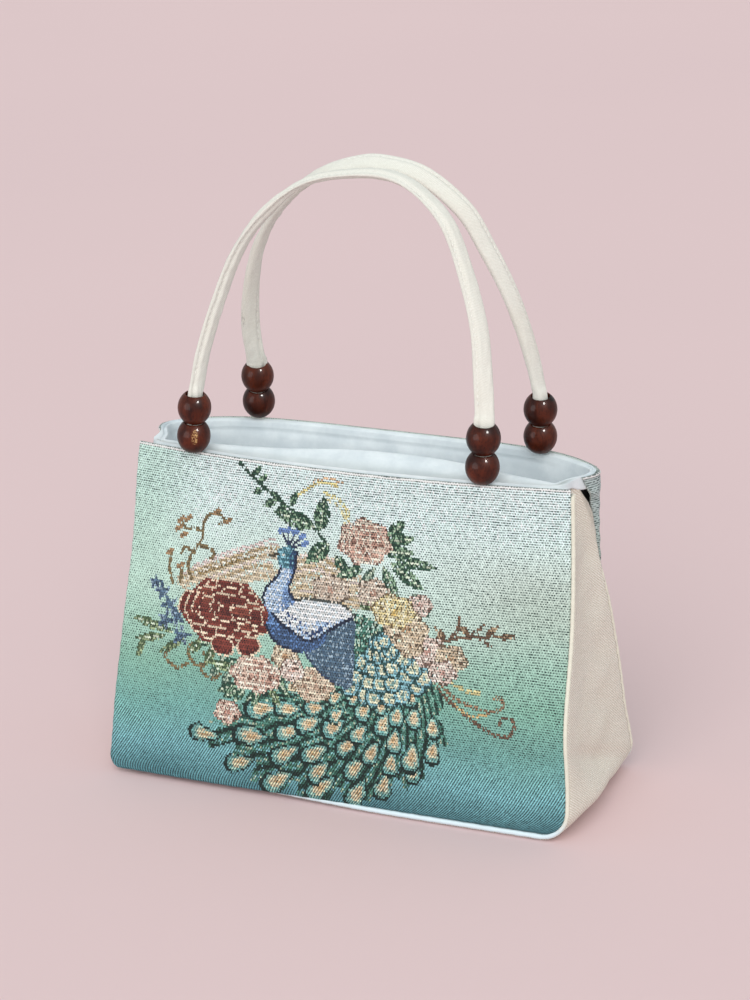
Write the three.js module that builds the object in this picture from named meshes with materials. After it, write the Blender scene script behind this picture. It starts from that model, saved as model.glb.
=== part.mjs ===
// Fabric handbag: woven front and back panels, a canvas gusset, rolled white seam edges,
// a white lining and two strap handles, each strung with two wood beads at either end.
// Millimetres. X runs across the bag, the front faces -Y, and Z rises from the floor.
import * as THREE from 'three';
import { mergeVertices } from 'three/addons/utils/BufferGeometryUtils.js';

const { lerp, clamp, degToRad } = THREE.MathUtils;

// Body sizes
const RIM_HEIGHT = 164.5;
const PANEL_FOOT = 3.5;
const FOOT_HALF_WIDTH = 120;
const RIM_HALF_WIDTH = 111;
const CORNER_RADIUS = 12;
const PANEL_THICKNESS = 1.6;

// Gusset strip: how far its outer face stands outside the panel's outline
const GUSSET_THICKNESS = 1.6;
const GUSSET_SIDE_STAND = 2.6;
const GUSSET_EDGE_BEHIND_WELT = 1.9;

// Rolled seam edges
const WELT_RADIUS = 1.4;
const WELT_STAND = 2;
const WELT_BEHIND_FACE = 1;
const WRAPPED_WELT_STAND = 0.6;
const WRAPPED_WELT_AHEAD = 2;
const FULL_WRAP = 3;

// Lining pouch
const LINING_THICKNESS = 1.4;
const LINING_INSET = 4;
const LINING_SIDE_INSET = 2;
const LINING_FLOOR = 3.8;
const LINING_CORNER_SHARE = 0.95;

// Wood beads
const BEAD_RADIUS = 8.1;
const BEAD_HALF_HEIGHT = 7.1;
const BEAD_BORE_RADIUS = 4.4;
const BEAD_BORE_FLARE = 0.5;
const STRUNG_WIDTH = 7.4;
const STRUNG_THICKNESS = 4.6;
const STRUNG_PAST_BEAD = 0.8;

// Mesh steps
const PANEL_COLUMNS = 20;
const PANEL_WALL_ROWS = 10;
const CORNER_STEPS = 3;
const GUSSET_DEPTH_STEPS = 5;
const FOOT_STEPS = 10;
const WELT_SIDES = 6;
const LINING_FRONT_POINTS = 17;
const LINING_SIDE_POINTS = 4;
const STRAP_STEPS = 40;
const STRAP_SIDES = 8;
const BEAD_SEGMENTS = 16;
const BEAD_ARC_STEPS = 5;

// Rows of numbers under named columns
function table(columns, rows) {
  return rows.map((row) => Object.fromEntries(columns.map((name, i) => [name, row[i]])));
}

// The body's level sections. front_left and front_right are the depths of the two front seams,
// back is the depth of the back seams, each bow is how far that panel swells between its seams,
// back_power shapes that swell, pinch draws the gusset in, and wrap is how far the back panel
// turns round the side.
const SECTIONS = table(
  ['z', 'front_left', 'front_right', 'front_bow', 'back', 'back_bow', 'back_power', 'pinch', 'wrap'],
  [
    [3.5, -49, -49, 1, 49, 1, 2, 0, 0],
    [14, -47, -48.4, 1.4, 46, 2, 2, 1, 0],
    [24, -45.6, -46.6, 2, 43.2, 3, 2.2, 1.6, 0],
    [36, -44, -46, 2.6, 39, 4.4, 2.4, 2, 0],
    [50, -41.2, -46, 3.4, 36, 6, 2.6, 2.4, 0],
    [64, -38, -42.6, 4.2, 33, 7.4, 2.8, 2.8, 0],
    [80, -34.4, -36.2, 5, 28.5, 9.4, 3, 3.2, 0],
    [95, -30.6, -30.6, 6, 23.8, 11.6, 3.4, 3.6, 0],
    [110, -26.8, -26.8, 7, 20, 14, 3.8, 4, 0],
    [128, -24, -23.4, 8.2, 18.6, 16.4, 4.2, 4.4, 0.8],
    [146, -22.2, -20.8, 9.6, 19, 18.6, 4.6, 4.8, 6.5],
    [164.5, -19.3, -18.4, 11, 20, 20, 5, 5, 16.5],
  ],
);

// How far the lining's lip leans in over the mouth, by the place across the front.
const LIP_REACH = table(
  ['across', 'reach'],
  [
    [-1, 2.5],
    [-0.73, 8],
    [-0.4, 18],
    [0, 26],
    [0.3, 26],
    [0.6, 18],
    [0.8, 10],
    [1, 2.5],
  ],
);
const SIDE_LIP_REACH = 2.5;
const BACK_LIP_REACH = 1.2;
const DEEPEST_LIP = 26;

// The lining from its sewn edge over the lip and down: lean is the share of the lip's reach,
// rise is the height over the rim where the lip is deepest, and level the height at the walls.
const LINING_ROWS = table(
  ['lean', 'rise', 'level'],
  [
    [0, -0.5, -0.5],
    [0.35, -1.6, -0.3],
    [0.78, 0.6, 0.1],
    [0.95, 1.6, -0.2],
    [1, -0.4, -1.6],
    [0.97, -5, -6],
    [0.74, -18, -18],
    [0.36, -36, -36],
    [0.1, -58, -58],
    [0, -84, -84],
    [0, -112, -112],
    [0, -130, -130],
    [0, -148, -148],
    [0, -157.5, -157.5],
  ],
);
const FLOOR_LOOP_SHARES = [0.94, 0.55];

// Where each bead's centre lies
const BEADS = [
  { name: 'bead_front_left_lower', x: -78.7, y: -25.1, z: 172.6, along: 'front_left' },
  { name: 'bead_front_left_upper', x: -77.3, y: -26.1, z: 187.1, along: 'front_left' },
  { name: 'bead_front_right_lower', x: 69.3, y: -22.9, z: 172.6, along: 'front_right' },
  { name: 'bead_front_right_upper', x: 70.5, y: -24.4, z: 187.1, along: 'front_right' },
  { name: 'bead_back_left_lower', x: -73.2, y: 36.6, z: 173.2, along: 'back_left' },
  { name: 'bead_back_left_upper', x: -71.8, y: 33.1, z: 187.3, along: 'back_left' },
  { name: 'bead_back_right_lower', x: 78.4, y: 30.1, z: 172.9, along: 'back_right' },
  { name: 'bead_back_right_upper', x: 79.4, y: 27.5, z: 187.2, along: 'back_right' },
];

// Strap stations between the beads, from left to right: the middle of the strap, its width and
// thickness, and its twist away from lying flat across the hand.
const FRONT_STRAP = table(
  ['x', 'y', 'z', 'width', 'thick', 'twist'],
  [
    [-76, -24.9, 199.5, 9.2, 4.8, 18],
    [-73.9, -21.4, 214.8, 9.5, 4.8, 16],
    [-67.6, -16.4, 238.6, 9.5, 4.8, 14],
    [-58.4, -11.8, 262.7, 9.5, 4.6, 10],
    [-43.9, -8, 282.6, 9.5, 4.4, 4],
    [-23.2, -5.3, 297.4, 9.5, 4.2, 0],
    [4, -4.4, 302.6, 9.5, 4.2, 0],
    [22.1, -4.6, 301, 9.5, 4.2, 4],
    [37.2, -6.1, 292.3, 9.5, 4.4, 10],
    [48.6, -8.5, 279.6, 9.5, 4.6, 16],
    [58.4, -12.7, 258.2, 9.5, 4.8, 24],
    [65.6, -16.8, 236.3, 9.5, 4.8, 34],
    [69.1, -21.1, 213.9, 9.5, 4.8, 48],
    [70.9, -24, 199.5, 9.2, 4.8, 62],
  ],
);
const BACK_STRAP = table(
  ['x', 'y', 'z', 'width', 'thick', 'twist'],
  [
    [-70.9, 29, 200, 9.2, 4.8, 62],
    [-70.6, 24.6, 217, 9.5, 4.8, 46],
    [-66.2, 19, 239.9, 9.5, 4.8, 30],
    [-58.3, 14, 261.7, 9.5, 4.6, 16],
    [-44.8, 9.6, 281.4, 9.5, 4.4, 4],
    [-25.3, 6, 297.8, 9.5, 4.2, -10],
    [-6.3, 4.6, 305.6, 9.5, 4.2, -14],
    [9.1, 4.2, 307.2, 9.5, 4.2, -14],
    [28.5, 5.2, 301.6, 9.5, 4.2, -6],
    [46.7, 8.4, 285.5, 9.5, 4.4, 4],
    [57.8, 12.8, 266.4, 9.5, 4.6, 10],
    [66.7, 17.4, 246.9, 9.5, 4.8, 16],
    [73.1, 22.1, 226.9, 9.5, 4.8, 20],
    [77.2, 25.4, 209, 9.5, 4.8, 24],
    [78.9, 26.3, 199.5, 9.2, 4.8, 26],
  ],
);

// A smooth curve through one column of a table, read at any place along the key column.
function column(rows, key, name) {
  const places = rows.map((row) => row[key]);
  const values = rows.map((row) => row[name]);
  const last = rows.length - 1;
  const slopes = rows.map((row, i) => {
    const low = Math.max(i - 1, 0);
    const high = Math.min(i + 1, last);
    return (values[high] - values[low]) / (places[high] - places[low]);
  });
  return (place) => {
    let i = 0;
    while (i < last - 1 && place > places[i + 1]) i += 1;
    const span = places[i + 1] - places[i];
    const t = clamp((place - places[i]) / span, 0, 1);
    const ease = t * t * (3 - 2 * t);
    const leave = t * (1 - t) * (1 - t) * span * slopes[i];
    const arrive = t * t * (t - 1) * span * slopes[i + 1];
    return lerp(values[i], values[i + 1], ease) + leave + arrive;
  };
}

const frontLeft = column(SECTIONS, 'z', 'front_left');
const frontRight = column(SECTIONS, 'z', 'front_right');
const frontBow = column(SECTIONS, 'z', 'front_bow');
const backSeam = column(SECTIONS, 'z', 'back');
const backBow = column(SECTIONS, 'z', 'back_bow');
const backPower = column(SECTIONS, 'z', 'back_power');
const pinch = column(SECTIONS, 'z', 'pinch');
const wrap = column(SECTIONS, 'z', 'wrap');
const lipReach = column(LIP_REACH, 'across', 'reach');

function halfWidth(z) {
  return lerp(FOOT_HALF_WIDTH, RIM_HALF_WIDTH, (z - PANEL_FOOT) / (RIM_HEIGHT - PANEL_FOOT));
}

// Half of the panel's width at a height, narrowing round the lower corners.
function roundedHalf(z) {
  const drop = clamp(CORNER_RADIUS - (z - PANEL_FOOT), 0, CORNER_RADIUS);
  return halfWidth(z) - CORNER_RADIUS + Math.sqrt(CORNER_RADIUS ** 2 - drop ** 2);
}

function frontSeam(across, z) {
  return lerp(frontLeft(z), frontRight(z), (across + 1) / 2);
}

function frontDepth(across, z) {
  return frontSeam(across, z) - frontBow(z) * (1 - across ** 2);
}

function backDepth(across, z) {
  return backSeam(z) + backBow(z) * (1 - Math.abs(across) ** backPower(z));
}

// The outer face of the back panel: share runs from -1 to 1 along the cloth, which turns round
// the corner where the wrap begins.
function backPoint(share, z) {
  const half = roundedHalf(z);
  const side = Math.sign(share);
  const reach = Math.abs(share) * (half + wrap(z));
  if (reach <= half) {
    return new THREE.Vector3(side * reach, backDepth(reach / half, z), z);
  }
  const t = (reach - half) / wrap(z);
  const slope = backPower(z) * backBow(z) / half;
  const run = 0.35 * wrap(z) / Math.hypot(1, slope);
  const corner = new THREE.Vector2(half, backSeam(z));
  const turn = new THREE.Vector2(half + run, backSeam(z) - run * slope);
  const end = new THREE.Vector2(half, backSeam(z) - wrap(z));
  const first = corner.lerp(turn, t);
  const second = turn.clone().lerp(end, t);
  const point = first.lerp(second, t);
  return new THREE.Vector3(side * point.x, point.y, z);
}

// A closed mesh from points and faces, turned so that its faces look outward.
function closedGeometry(points, faces) {
  const geometry = new THREE.BufferGeometry();
  const positions = points.flatMap((point) => [point.x, point.y, point.z]);
  geometry.setAttribute('position', new THREE.Float32BufferAttribute(positions, 3));
  let volume = 0;
  for (const [a, b, c] of faces) {
    volume += points[a].dot(points[b].clone().cross(points[c]));
  }
  const outward = volume > 0 ? faces : faces.map(([a, b, c]) => [a, c, b]);
  geometry.setIndex(outward.flat());
  return geometry;
}

function addQuad(faces, a, b, c, d) {
  faces.push([a, b, c], [a, c, d]);
}

// A sheet with thickness from two matching grids of points, closed round its four edges.
function sheetGeometry(outer, inner) {
  const rows = outer.length;
  const columns = outer[0].length;
  const points = [...outer.flat(), ...inner.flat()];
  const faces = [];
  const front = (r, c) => r * columns + c;
  const rear = (r, c) => rows * columns + r * columns + c;
  for (let r = 0; r + 1 < rows; r += 1) {
    for (let c = 0; c + 1 < columns; c += 1) {
      addQuad(faces, front(r, c), front(r, c + 1), front(r + 1, c + 1), front(r + 1, c));
      addQuad(faces, rear(r + 1, c), rear(r + 1, c + 1), rear(r, c + 1), rear(r, c));
    }
  }
  for (let c = 0; c + 1 < columns; c += 1) {
    addQuad(faces, rear(0, c), rear(0, c + 1), front(0, c + 1), front(0, c));
    addQuad(faces, front(rows - 1, c), front(rows - 1, c + 1), rear(rows - 1, c + 1), rear(rows - 1, c));
  }
  const end = columns - 1;
  for (let r = 0; r + 1 < rows; r += 1) {
    addQuad(faces, front(r, 0), front(r + 1, 0), rear(r + 1, 0), rear(r, 0));
    addQuad(faces, rear(r, end), rear(r + 1, end), front(r + 1, end), front(r, end));
  }
  return closedGeometry(points, faces);
}

// A tube from matching rings of points, each end closed to the middle of its ring.
function tubeGeometry(rings) {
  const sides = rings[0].length;
  const points = rings.flat();
  const faces = [];
  for (let r = 0; r + 1 < rings.length; r += 1) {
    for (let s = 0; s < sides; s += 1) {
      const next = (s + 1) % sides;
      addQuad(faces, r * sides + s, r * sides + next, (r + 1) * sides + next, (r + 1) * sides + s);
    }
  }
  const last = rings.length - 1;
  for (const [ring, reversed] of [[0, true], [last, false]]) {
    const middle = new THREE.Vector3();
    rings[ring].forEach((point) => middle.addScaledVector(point, 1 / sides));
    const hub = points.push(middle) - 1;
    for (let s = 0; s < sides; s += 1) {
      const here = ring * sides + s;
      const next = ring * sides + (s + 1) % sides;
      faces.push(reversed ? [next, here, hub] : [here, next, hub]);
    }
  }
  return closedGeometry(points, faces);
}

// Heights of a panel's rows: close together round the lower corners, then even to the rim.
function panelHeights() {
  const heights = [];
  for (let step = 0; step <= CORNER_STEPS; step += 1) {
    const angle = (Math.PI / 2) * (step / CORNER_STEPS);
    heights.push(PANEL_FOOT + CORNER_RADIUS * (1 - Math.cos(angle)));
  }
  const wallFoot = PANEL_FOOT + CORNER_RADIUS;
  for (let row = 1; row <= PANEL_WALL_ROWS; row += 1) {
    heights.push(lerp(wallFoot, RIM_HEIGHT, row / PANEL_WALL_ROWS));
  }
  return heights;
}

function frontPanel() {
  const outer = panelHeights().map((z) => {
    const row = [];
    for (let c = 0; c <= PANEL_COLUMNS; c += 1) {
      const across = (2 * c) / PANEL_COLUMNS - 1;
      row.push(new THREE.Vector3(across * roundedHalf(z), frontDepth(across, z), z));
    }
    return row;
  });
  const behind = new THREE.Vector3(0, PANEL_THICKNESS, 0);
  const inner = outer.map((row) => row.map((point) => point.clone().add(behind)));
  return sheetGeometry(outer, inner);
}

function backPanel() {
  const outer = [];
  const inner = [];
  for (const z of panelHeights()) {
    const row = [];
    for (let c = 0; c <= PANEL_COLUMNS; c += 1) {
      row.push(backPoint(Math.sin((Math.PI / 2) * ((2 * c) / PANEL_COLUMNS - 1)), z));
    }
    outer.push(row);
    inner.push(row.map((point, c) => {
      const before = row[Math.max(c - 1, 0)];
      const after = row[Math.min(c + 1, PANEL_COLUMNS)];
      const along = after.clone().sub(before).normalize();
      return new THREE.Vector3(along.y, -along.x, 0).multiplyScalar(PANEL_THICKNESS).add(point);
    }));
  }
  return sheetGeometry(outer, inner);
}

// The seam's run round a panel, down one side, along the foot and up the other, standing off
// the panel's outline by one distance at the sides and another at the foot.
function seamRun(sideStand, footStand) {
  const run = [];
  const wallFoot = PANEL_FOOT + CORNER_RADIUS;
  const right = [];
  for (let row = PANEL_WALL_ROWS; row > 0; row -= 1) {
    const z = lerp(wallFoot, RIM_HEIGHT, row / PANEL_WALL_ROWS);
    right.push({ x: halfWidth(z) + sideStand, z, out_x: 1, out_z: 0 });
  }
  const centre = halfWidth(wallFoot) - CORNER_RADIUS;
  for (let step = 0; step <= 2 * CORNER_STEPS; step += 1) {
    const angle = (Math.PI / 2) * (step / (2 * CORNER_STEPS));
    const radius = CORNER_RADIUS + lerp(sideStand, footStand, step / (2 * CORNER_STEPS));
    const out_x = Math.cos(angle);
    const out_z = -Math.sin(angle);
    right.push({ x: centre + radius * out_x, z: wallFoot + radius * out_z, out_x, out_z });
  }
  const left = right.map((p) => ({ x: -p.x, z: p.z, out_x: -p.out_x, out_z: p.out_z }));
  run.push(...left);
  for (let step = 1; step < FOOT_STEPS; step += 1) {
    run.push({ x: lerp(-centre, centre, step / FOOT_STEPS), z: PANEL_FOOT - footStand, out_x: 0, out_z: -1 });
  }
  run.push(...right.reverse());
  return run;
}

// Depth of the front seam and of the back seam beside a point of the seam's run.
function seamDepths(point) {
  const z = Math.max(point.z, PANEL_FOOT);
  const across = clamp(point.x / halfWidth(z), -1, 1);
  const turned = Math.min(wrap(z) / FULL_WRAP, 1);
  const front = frontSeam(across, z) - frontBow(z) * (1 - across ** 2) + WELT_BEHIND_FACE;
  const backAhead = lerp(WELT_BEHIND_FACE, WRAPPED_WELT_AHEAD, turned);
  const back = backSeam(z) + backBow(z) * (1 - across ** 2) - wrap(z) - backAhead;
  return { front, back, turned };
}

function welt(which) {
  const run = seamRun(WELT_STAND, WELT_STAND).map((point) => {
    const depths = seamDepths(point);
    const drawnIn = which === 'back' ? (WELT_STAND - WRAPPED_WELT_STAND) * depths.turned : 0;
    return new THREE.Vector3(point.x - point.out_x * drawnIn, depths[which], point.z);
  });
  const rings = run.map((middle, i) => {
    const before = run[Math.max(i - 1, 0)];
    const after = run[Math.min(i + 1, run.length - 1)];
    const along = after.clone().sub(before).normalize();
    const forward = new THREE.Vector3(0, 1, 0).addScaledVector(along, -along.y).normalize();
    const outward = along.clone().cross(forward);
    const ring = [];
    for (let s = 0; s < WELT_SIDES; s += 1) {
      const angle = (2 * Math.PI * s) / WELT_SIDES;
      ring.push(middle.clone()
        .addScaledVector(forward, WELT_RADIUS * Math.cos(angle))
        .addScaledVector(outward, WELT_RADIUS * Math.sin(angle)));
    }
    return ring;
  });
  return tubeGeometry(rings);
}

function gusset() {
  const outer = [];
  const inner = [];
  for (const point of seamRun(GUSSET_SIDE_STAND, PANEL_FOOT)) {
    const depths = seamDepths(point);
    const drawnIn = (WELT_STAND - WRAPPED_WELT_STAND) * depths.turned;
    const frontEdge = depths.front + GUSSET_EDGE_BEHIND_WELT;
    const backEdge = depths.back - GUSSET_EDGE_BEHIND_WELT;
    const outerRow = [];
    const innerRow = [];
    for (let step = 0; step <= GUSSET_DEPTH_STEPS; step += 1) {
      const t = step / GUSSET_DEPTH_STEPS;
      const dip = pinch(point.z) * 4 * t * (1 - t) + drawnIn * t;
      const face = new THREE.Vector3(point.x, lerp(frontEdge, backEdge, t), point.z);
      const outward = new THREE.Vector3(point.out_x, 0, point.out_z);
      outerRow.push(face.clone().addScaledVector(outward, -dip));
      innerRow.push(face.clone().addScaledVector(outward, -dip - GUSSET_THICKNESS));
    }
    outer.push(outerRow);
    inner.push(innerRow);
  }
  return sheetGeometry(outer, inner);
}

// One level loop of the lining's inner face: front, right side, back, left side.
function liningLoop(z) {
  const half = roundedHalf(z) - LINING_SIDE_INSET;
  const share = LINING_CORNER_SHARE;
  const loop = [];
  for (let i = 0; i < LINING_FRONT_POINTS; i += 1) {
    const across = lerp(-share, share, i / (LINING_FRONT_POINTS - 1));
    loop.push({ x: across * half, y: frontDepth(across, z) + LINING_INSET, across, part: 'front' });
  }
  const sideFront = (across) => frontDepth(across, z) + LINING_INSET;
  const sideBack = backDepth(share, z) - LINING_INSET;
  const sidePoint = (side, i) => {
    const t = i / (LINING_SIDE_POINTS + 1);
    const drawnIn = pinch(z) * 4 * t * (1 - t);
    return { x: side * (half - drawnIn), y: lerp(sideFront(side), sideBack, t), part: 'side' };
  };
  for (let i = 1; i <= LINING_SIDE_POINTS; i += 1) loop.push(sidePoint(1, i));
  for (let i = 0; i < LINING_FRONT_POINTS; i += 1) {
    const across = lerp(share, -share, i / (LINING_FRONT_POINTS - 1));
    loop.push({ x: across * half, y: backDepth(across, z) - LINING_INSET, part: 'back' });
  }
  for (let i = LINING_SIDE_POINTS; i >= 1; i -= 1) loop.push(sidePoint(-1, i));
  return loop;
}

function lipReachAt(point) {
  if (point.part === 'front') return lipReach(point.across);
  return point.part === 'back' ? BACK_LIP_REACH : SIDE_LIP_REACH;
}

function lining() {
  const grid = LINING_ROWS.map((row) => {
    const loop = liningLoop(Math.min(RIM_HEIGHT + row.level, RIM_HEIGHT));
    const count = loop.length;
    return loop.map((point, i) => {
      const before = loop[(i + count - 1) % count];
      const after = loop[(i + 1) % count];
      const along = new THREE.Vector2(after.x - before.x, after.y - before.y).normalize();
      const reach = lipReachAt(point);
      const lean = reach * row.lean;
      const height = lerp(row.level, row.rise, reach / DEEPEST_LIP);
      return new THREE.Vector3(point.x - along.y * lean, point.y + along.x * lean, RIM_HEIGHT + height);
    });
  });
  const lowest = grid[grid.length - 1];
  for (const share of FLOOR_LOOP_SHARES) {
    grid.push(lowest.map((point) => new THREE.Vector3(point.x * share, point.y * share, LINING_FLOOR)));
  }
  return cupGeometry(grid, new THREE.Vector3(0, 0, LINING_FLOOR), LINING_THICKNESS);
}

// A cup from closed loops that end in one middle point, thickened away from its inner face.
function cupGeometry(loops, middle, thickness) {
  const count = loops[0].length;
  const rows = loops.length;
  const outerLoops = loops.map((loop, r) => loop.map((point, i) => {
    const along = loop[(i + 1) % count].clone().sub(loop[(i + count - 1) % count]);
    const above = loops[Math.max(r - 1, 0)][i];
    const below = r + 1 < rows ? loops[r + 1][i] : middle;
    const outward = along.cross(below.clone().sub(above)).normalize();
    return point.clone().addScaledVector(outward, -thickness);
  }));
  const outerMiddle = middle.clone().add(new THREE.Vector3(0, 0, -thickness));
  const points = [...loops.flat(), ...outerLoops.flat(), middle, outerMiddle];
  const faces = [];
  const inside = (r, i) => r * count + (i % count);
  const outside = (r, i) => rows * count + r * count + (i % count);
  const middleIndex = 2 * rows * count;
  for (let i = 0; i < count; i += 1) {
    for (let r = 0; r + 1 < rows; r += 1) {
      addQuad(faces, inside(r, i), inside(r, i + 1), inside(r + 1, i + 1), inside(r + 1, i));
      addQuad(faces, outside(r + 1, i), outside(r + 1, i + 1), outside(r, i + 1), outside(r, i));
    }
    addQuad(faces, outside(0, i), outside(0, i + 1), inside(0, i + 1), inside(0, i));
    faces.push([inside(rows - 1, i), inside(rows - 1, i + 1), middleIndex]);
    faces.push([outside(rows - 1, i + 1), outside(rows - 1, i), middleIndex + 1]);
  }
  return closedGeometry(points, faces);
}

// The two beads of one strap end and the line through them.
function beadString(along) {
  const [lower, upper] = BEADS.filter((row) => row.along === along)
    .map((row) => new THREE.Vector3(row.x, row.y, row.z));
  return { lower, upper, line: upper.clone().sub(lower).normalize() };
}

// Stations of the strap where it runs through the two beads of one end, from the rim upward.
function strungStations(along, twist) {
  const { lower, upper, line } = beadString(along);
  const foot = lower.clone().addScaledVector(line, -BEAD_HALF_HEIGHT);
  const head = upper.clone().addScaledVector(line, BEAD_HALF_HEIGHT + STRUNG_PAST_BEAD);
  return [foot, lower, upper, head].map(({ x, y, z }) => (
    { x, y, z, width: STRUNG_WIDTH, thick: STRUNG_THICKNESS, twist }
  ));
}

// A flattened strap through its beads and along its table of stations.
function strap(table, leftEnd, rightEnd) {
  const first = table[0];
  const final = table[table.length - 1];
  const stations = [
    ...strungStations(leftEnd, first.twist),
    ...table,
    ...strungStations(rightEnd, final.twist).reverse(),
  ];
  const numbered = stations.map((row, index) => ({ ...row, index }));
  const read = (name) => column(numbered, 'index', name);
  const [x, y, z, width, thick, twist] = ['x', 'y', 'z', 'width', 'thick', 'twist'].map(read);
  const last = stations.length - 1;
  const place = (at) => new THREE.Vector3(x(at), y(at), z(at));
  const rings = [];
  for (let step = 0; step <= STRAP_STEPS; step += 1) {
    const at = (last * step) / STRAP_STEPS;
    const nudge = 0.05;
    const along = place(Math.min(at + nudge, last)).sub(place(Math.max(at - nudge, 0))).normalize();
    const flat = new THREE.Vector3(0, 1, 0).addScaledVector(along, -along.y).normalize();
    flat.applyAxisAngle(along, -degToRad(twist(at)) * Math.sign(along.z || 1));
    const face = along.clone().cross(flat);
    const ring = [];
    for (let s = 0; s < STRAP_SIDES; s += 1) {
      const angle = (2 * Math.PI * s) / STRAP_SIDES;
      ring.push(place(at)
        .addScaledVector(flat, (width(at) / 2) * Math.cos(angle))
        .addScaledVector(face, (thick(at) / 2) * Math.sin(angle)));
    }
    rings.push(ring);
  }
  return tubeGeometry(rings);
}

// A bead turned about its bore, stood along the string that it is threaded on.
function bead(row) {
  const rimRadius = BEAD_BORE_RADIUS + BEAD_BORE_FLARE;
  const rimAngle = Math.acos(rimRadius / BEAD_RADIUS);
  const profile = [];
  for (let step = 0; step <= BEAD_ARC_STEPS; step += 1) {
    const angle = lerp(-rimAngle, rimAngle, step / BEAD_ARC_STEPS);
    const height = (BEAD_HALF_HEIGHT * Math.sin(angle)) / Math.sin(rimAngle);
    profile.push(new THREE.Vector2(BEAD_RADIUS * Math.cos(angle), height));
  }
  profile.push(new THREE.Vector2(BEAD_BORE_RADIUS, BEAD_HALF_HEIGHT - BEAD_BORE_FLARE));
  profile.push(new THREE.Vector2(BEAD_BORE_RADIUS, BEAD_BORE_FLARE - BEAD_HALF_HEIGHT));
  profile.push(profile[0].clone());
  const turned = new THREE.LatheGeometry(profile, BEAD_SEGMENTS);
  turned.deleteAttribute('normal');
  turned.deleteAttribute('uv');
  const geometry = mergeVertices(turned, 1e-3);
  const { line } = beadString(row.along);
  const stand = new THREE.Quaternion().setFromUnitVectors(new THREE.Vector3(0, 1, 0), line);
  geometry.applyQuaternion(stand);
  geometry.translate(row.x, row.y, row.z);
  return geometry;
}

function piece(name, geometry, colour, roughness) {
  const material = new THREE.MeshStandardMaterial({ color: colour, roughness, metalness: 0 });
  const mesh = new THREE.Mesh(geometry, material);
  mesh.name = name;
  return mesh;
}

const JACQUARD = 0x9cc9bb;
const CANVAS = 0xeee8dc;
const LINING_CLOTH = 0xf1f2f4;
const STRAP_CLOTH = 0xefece0;
const DARK_WOOD = 0x4a1712;

const bag = new THREE.Group();
bag.name = 'fabric_handbag';
bag.add(piece('front_panel', frontPanel(), JACQUARD, 0.85));
bag.add(piece('back_panel', backPanel(), JACQUARD, 0.85));
bag.add(piece('gusset', gusset(), CANVAS, 0.9));
bag.add(piece('front_welt', welt('front'), CANVAS, 0.9));
bag.add(piece('back_welt', welt('back'), CANVAS, 0.9));
bag.add(piece('lining', lining(), LINING_CLOTH, 0.8));
bag.add(piece('front_handle', strap(FRONT_STRAP, 'front_left', 'front_right'), STRAP_CLOTH, 0.85));
bag.add(piece('back_handle', strap(BACK_STRAP, 'back_left', 'back_right'), STRAP_CLOTH, 0.85));
BEADS.forEach((row) => bag.add(piece(row.name, bead(row), DARK_WOOD, 0.25)));

export default bag;
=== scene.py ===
"""Fabric handbag: woven picture panels, a canvas gusset, rolled white seam edges, a white lining
and two strap handles strung with dark wood beads. Shapes are worked out in millimetres, in the
frame's own axes: X across the bag, the front facing -Y, Z up from the floor."""
import math

import bpy
import numpy as np
from mathutils import Matrix, Vector


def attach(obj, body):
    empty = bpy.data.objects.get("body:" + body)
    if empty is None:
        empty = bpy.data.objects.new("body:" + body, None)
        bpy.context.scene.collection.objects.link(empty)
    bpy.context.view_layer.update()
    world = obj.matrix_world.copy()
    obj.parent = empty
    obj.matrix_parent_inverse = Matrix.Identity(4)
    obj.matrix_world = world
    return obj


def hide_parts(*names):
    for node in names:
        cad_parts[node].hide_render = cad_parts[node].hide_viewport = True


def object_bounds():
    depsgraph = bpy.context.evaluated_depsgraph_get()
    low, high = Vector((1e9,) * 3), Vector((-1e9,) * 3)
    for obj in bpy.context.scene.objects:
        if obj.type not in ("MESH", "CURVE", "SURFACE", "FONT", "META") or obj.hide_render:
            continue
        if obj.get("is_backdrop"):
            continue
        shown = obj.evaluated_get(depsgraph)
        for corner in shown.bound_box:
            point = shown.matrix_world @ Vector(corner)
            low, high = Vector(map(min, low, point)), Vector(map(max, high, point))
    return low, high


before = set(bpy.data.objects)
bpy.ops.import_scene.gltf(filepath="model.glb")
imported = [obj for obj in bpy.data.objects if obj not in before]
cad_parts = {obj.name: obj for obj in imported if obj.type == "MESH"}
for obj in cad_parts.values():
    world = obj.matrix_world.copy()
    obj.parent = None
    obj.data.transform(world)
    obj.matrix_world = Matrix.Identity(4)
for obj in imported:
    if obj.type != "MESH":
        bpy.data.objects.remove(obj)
CAD_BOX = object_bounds()

MM = 0.001
TURN = 2 * math.pi
BODY = "root"
random = np.random.default_rng(23)

# Body sizes
RIM_HEIGHT = 164.5
PANEL_FOOT = 3.5
PANEL_HEIGHT = RIM_HEIGHT - PANEL_FOOT
PANEL_THICKNESS = 1.6
FOOT_HALF_WIDTH = 120.0
RIM_HALF_WIDTH = 111.0
CORNER_RADIUS = 12.0
LEFT_CORNER_RADIUS = 7.0
SIDE_LAP = 0.8
FOOT_LAP = 1.2

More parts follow.
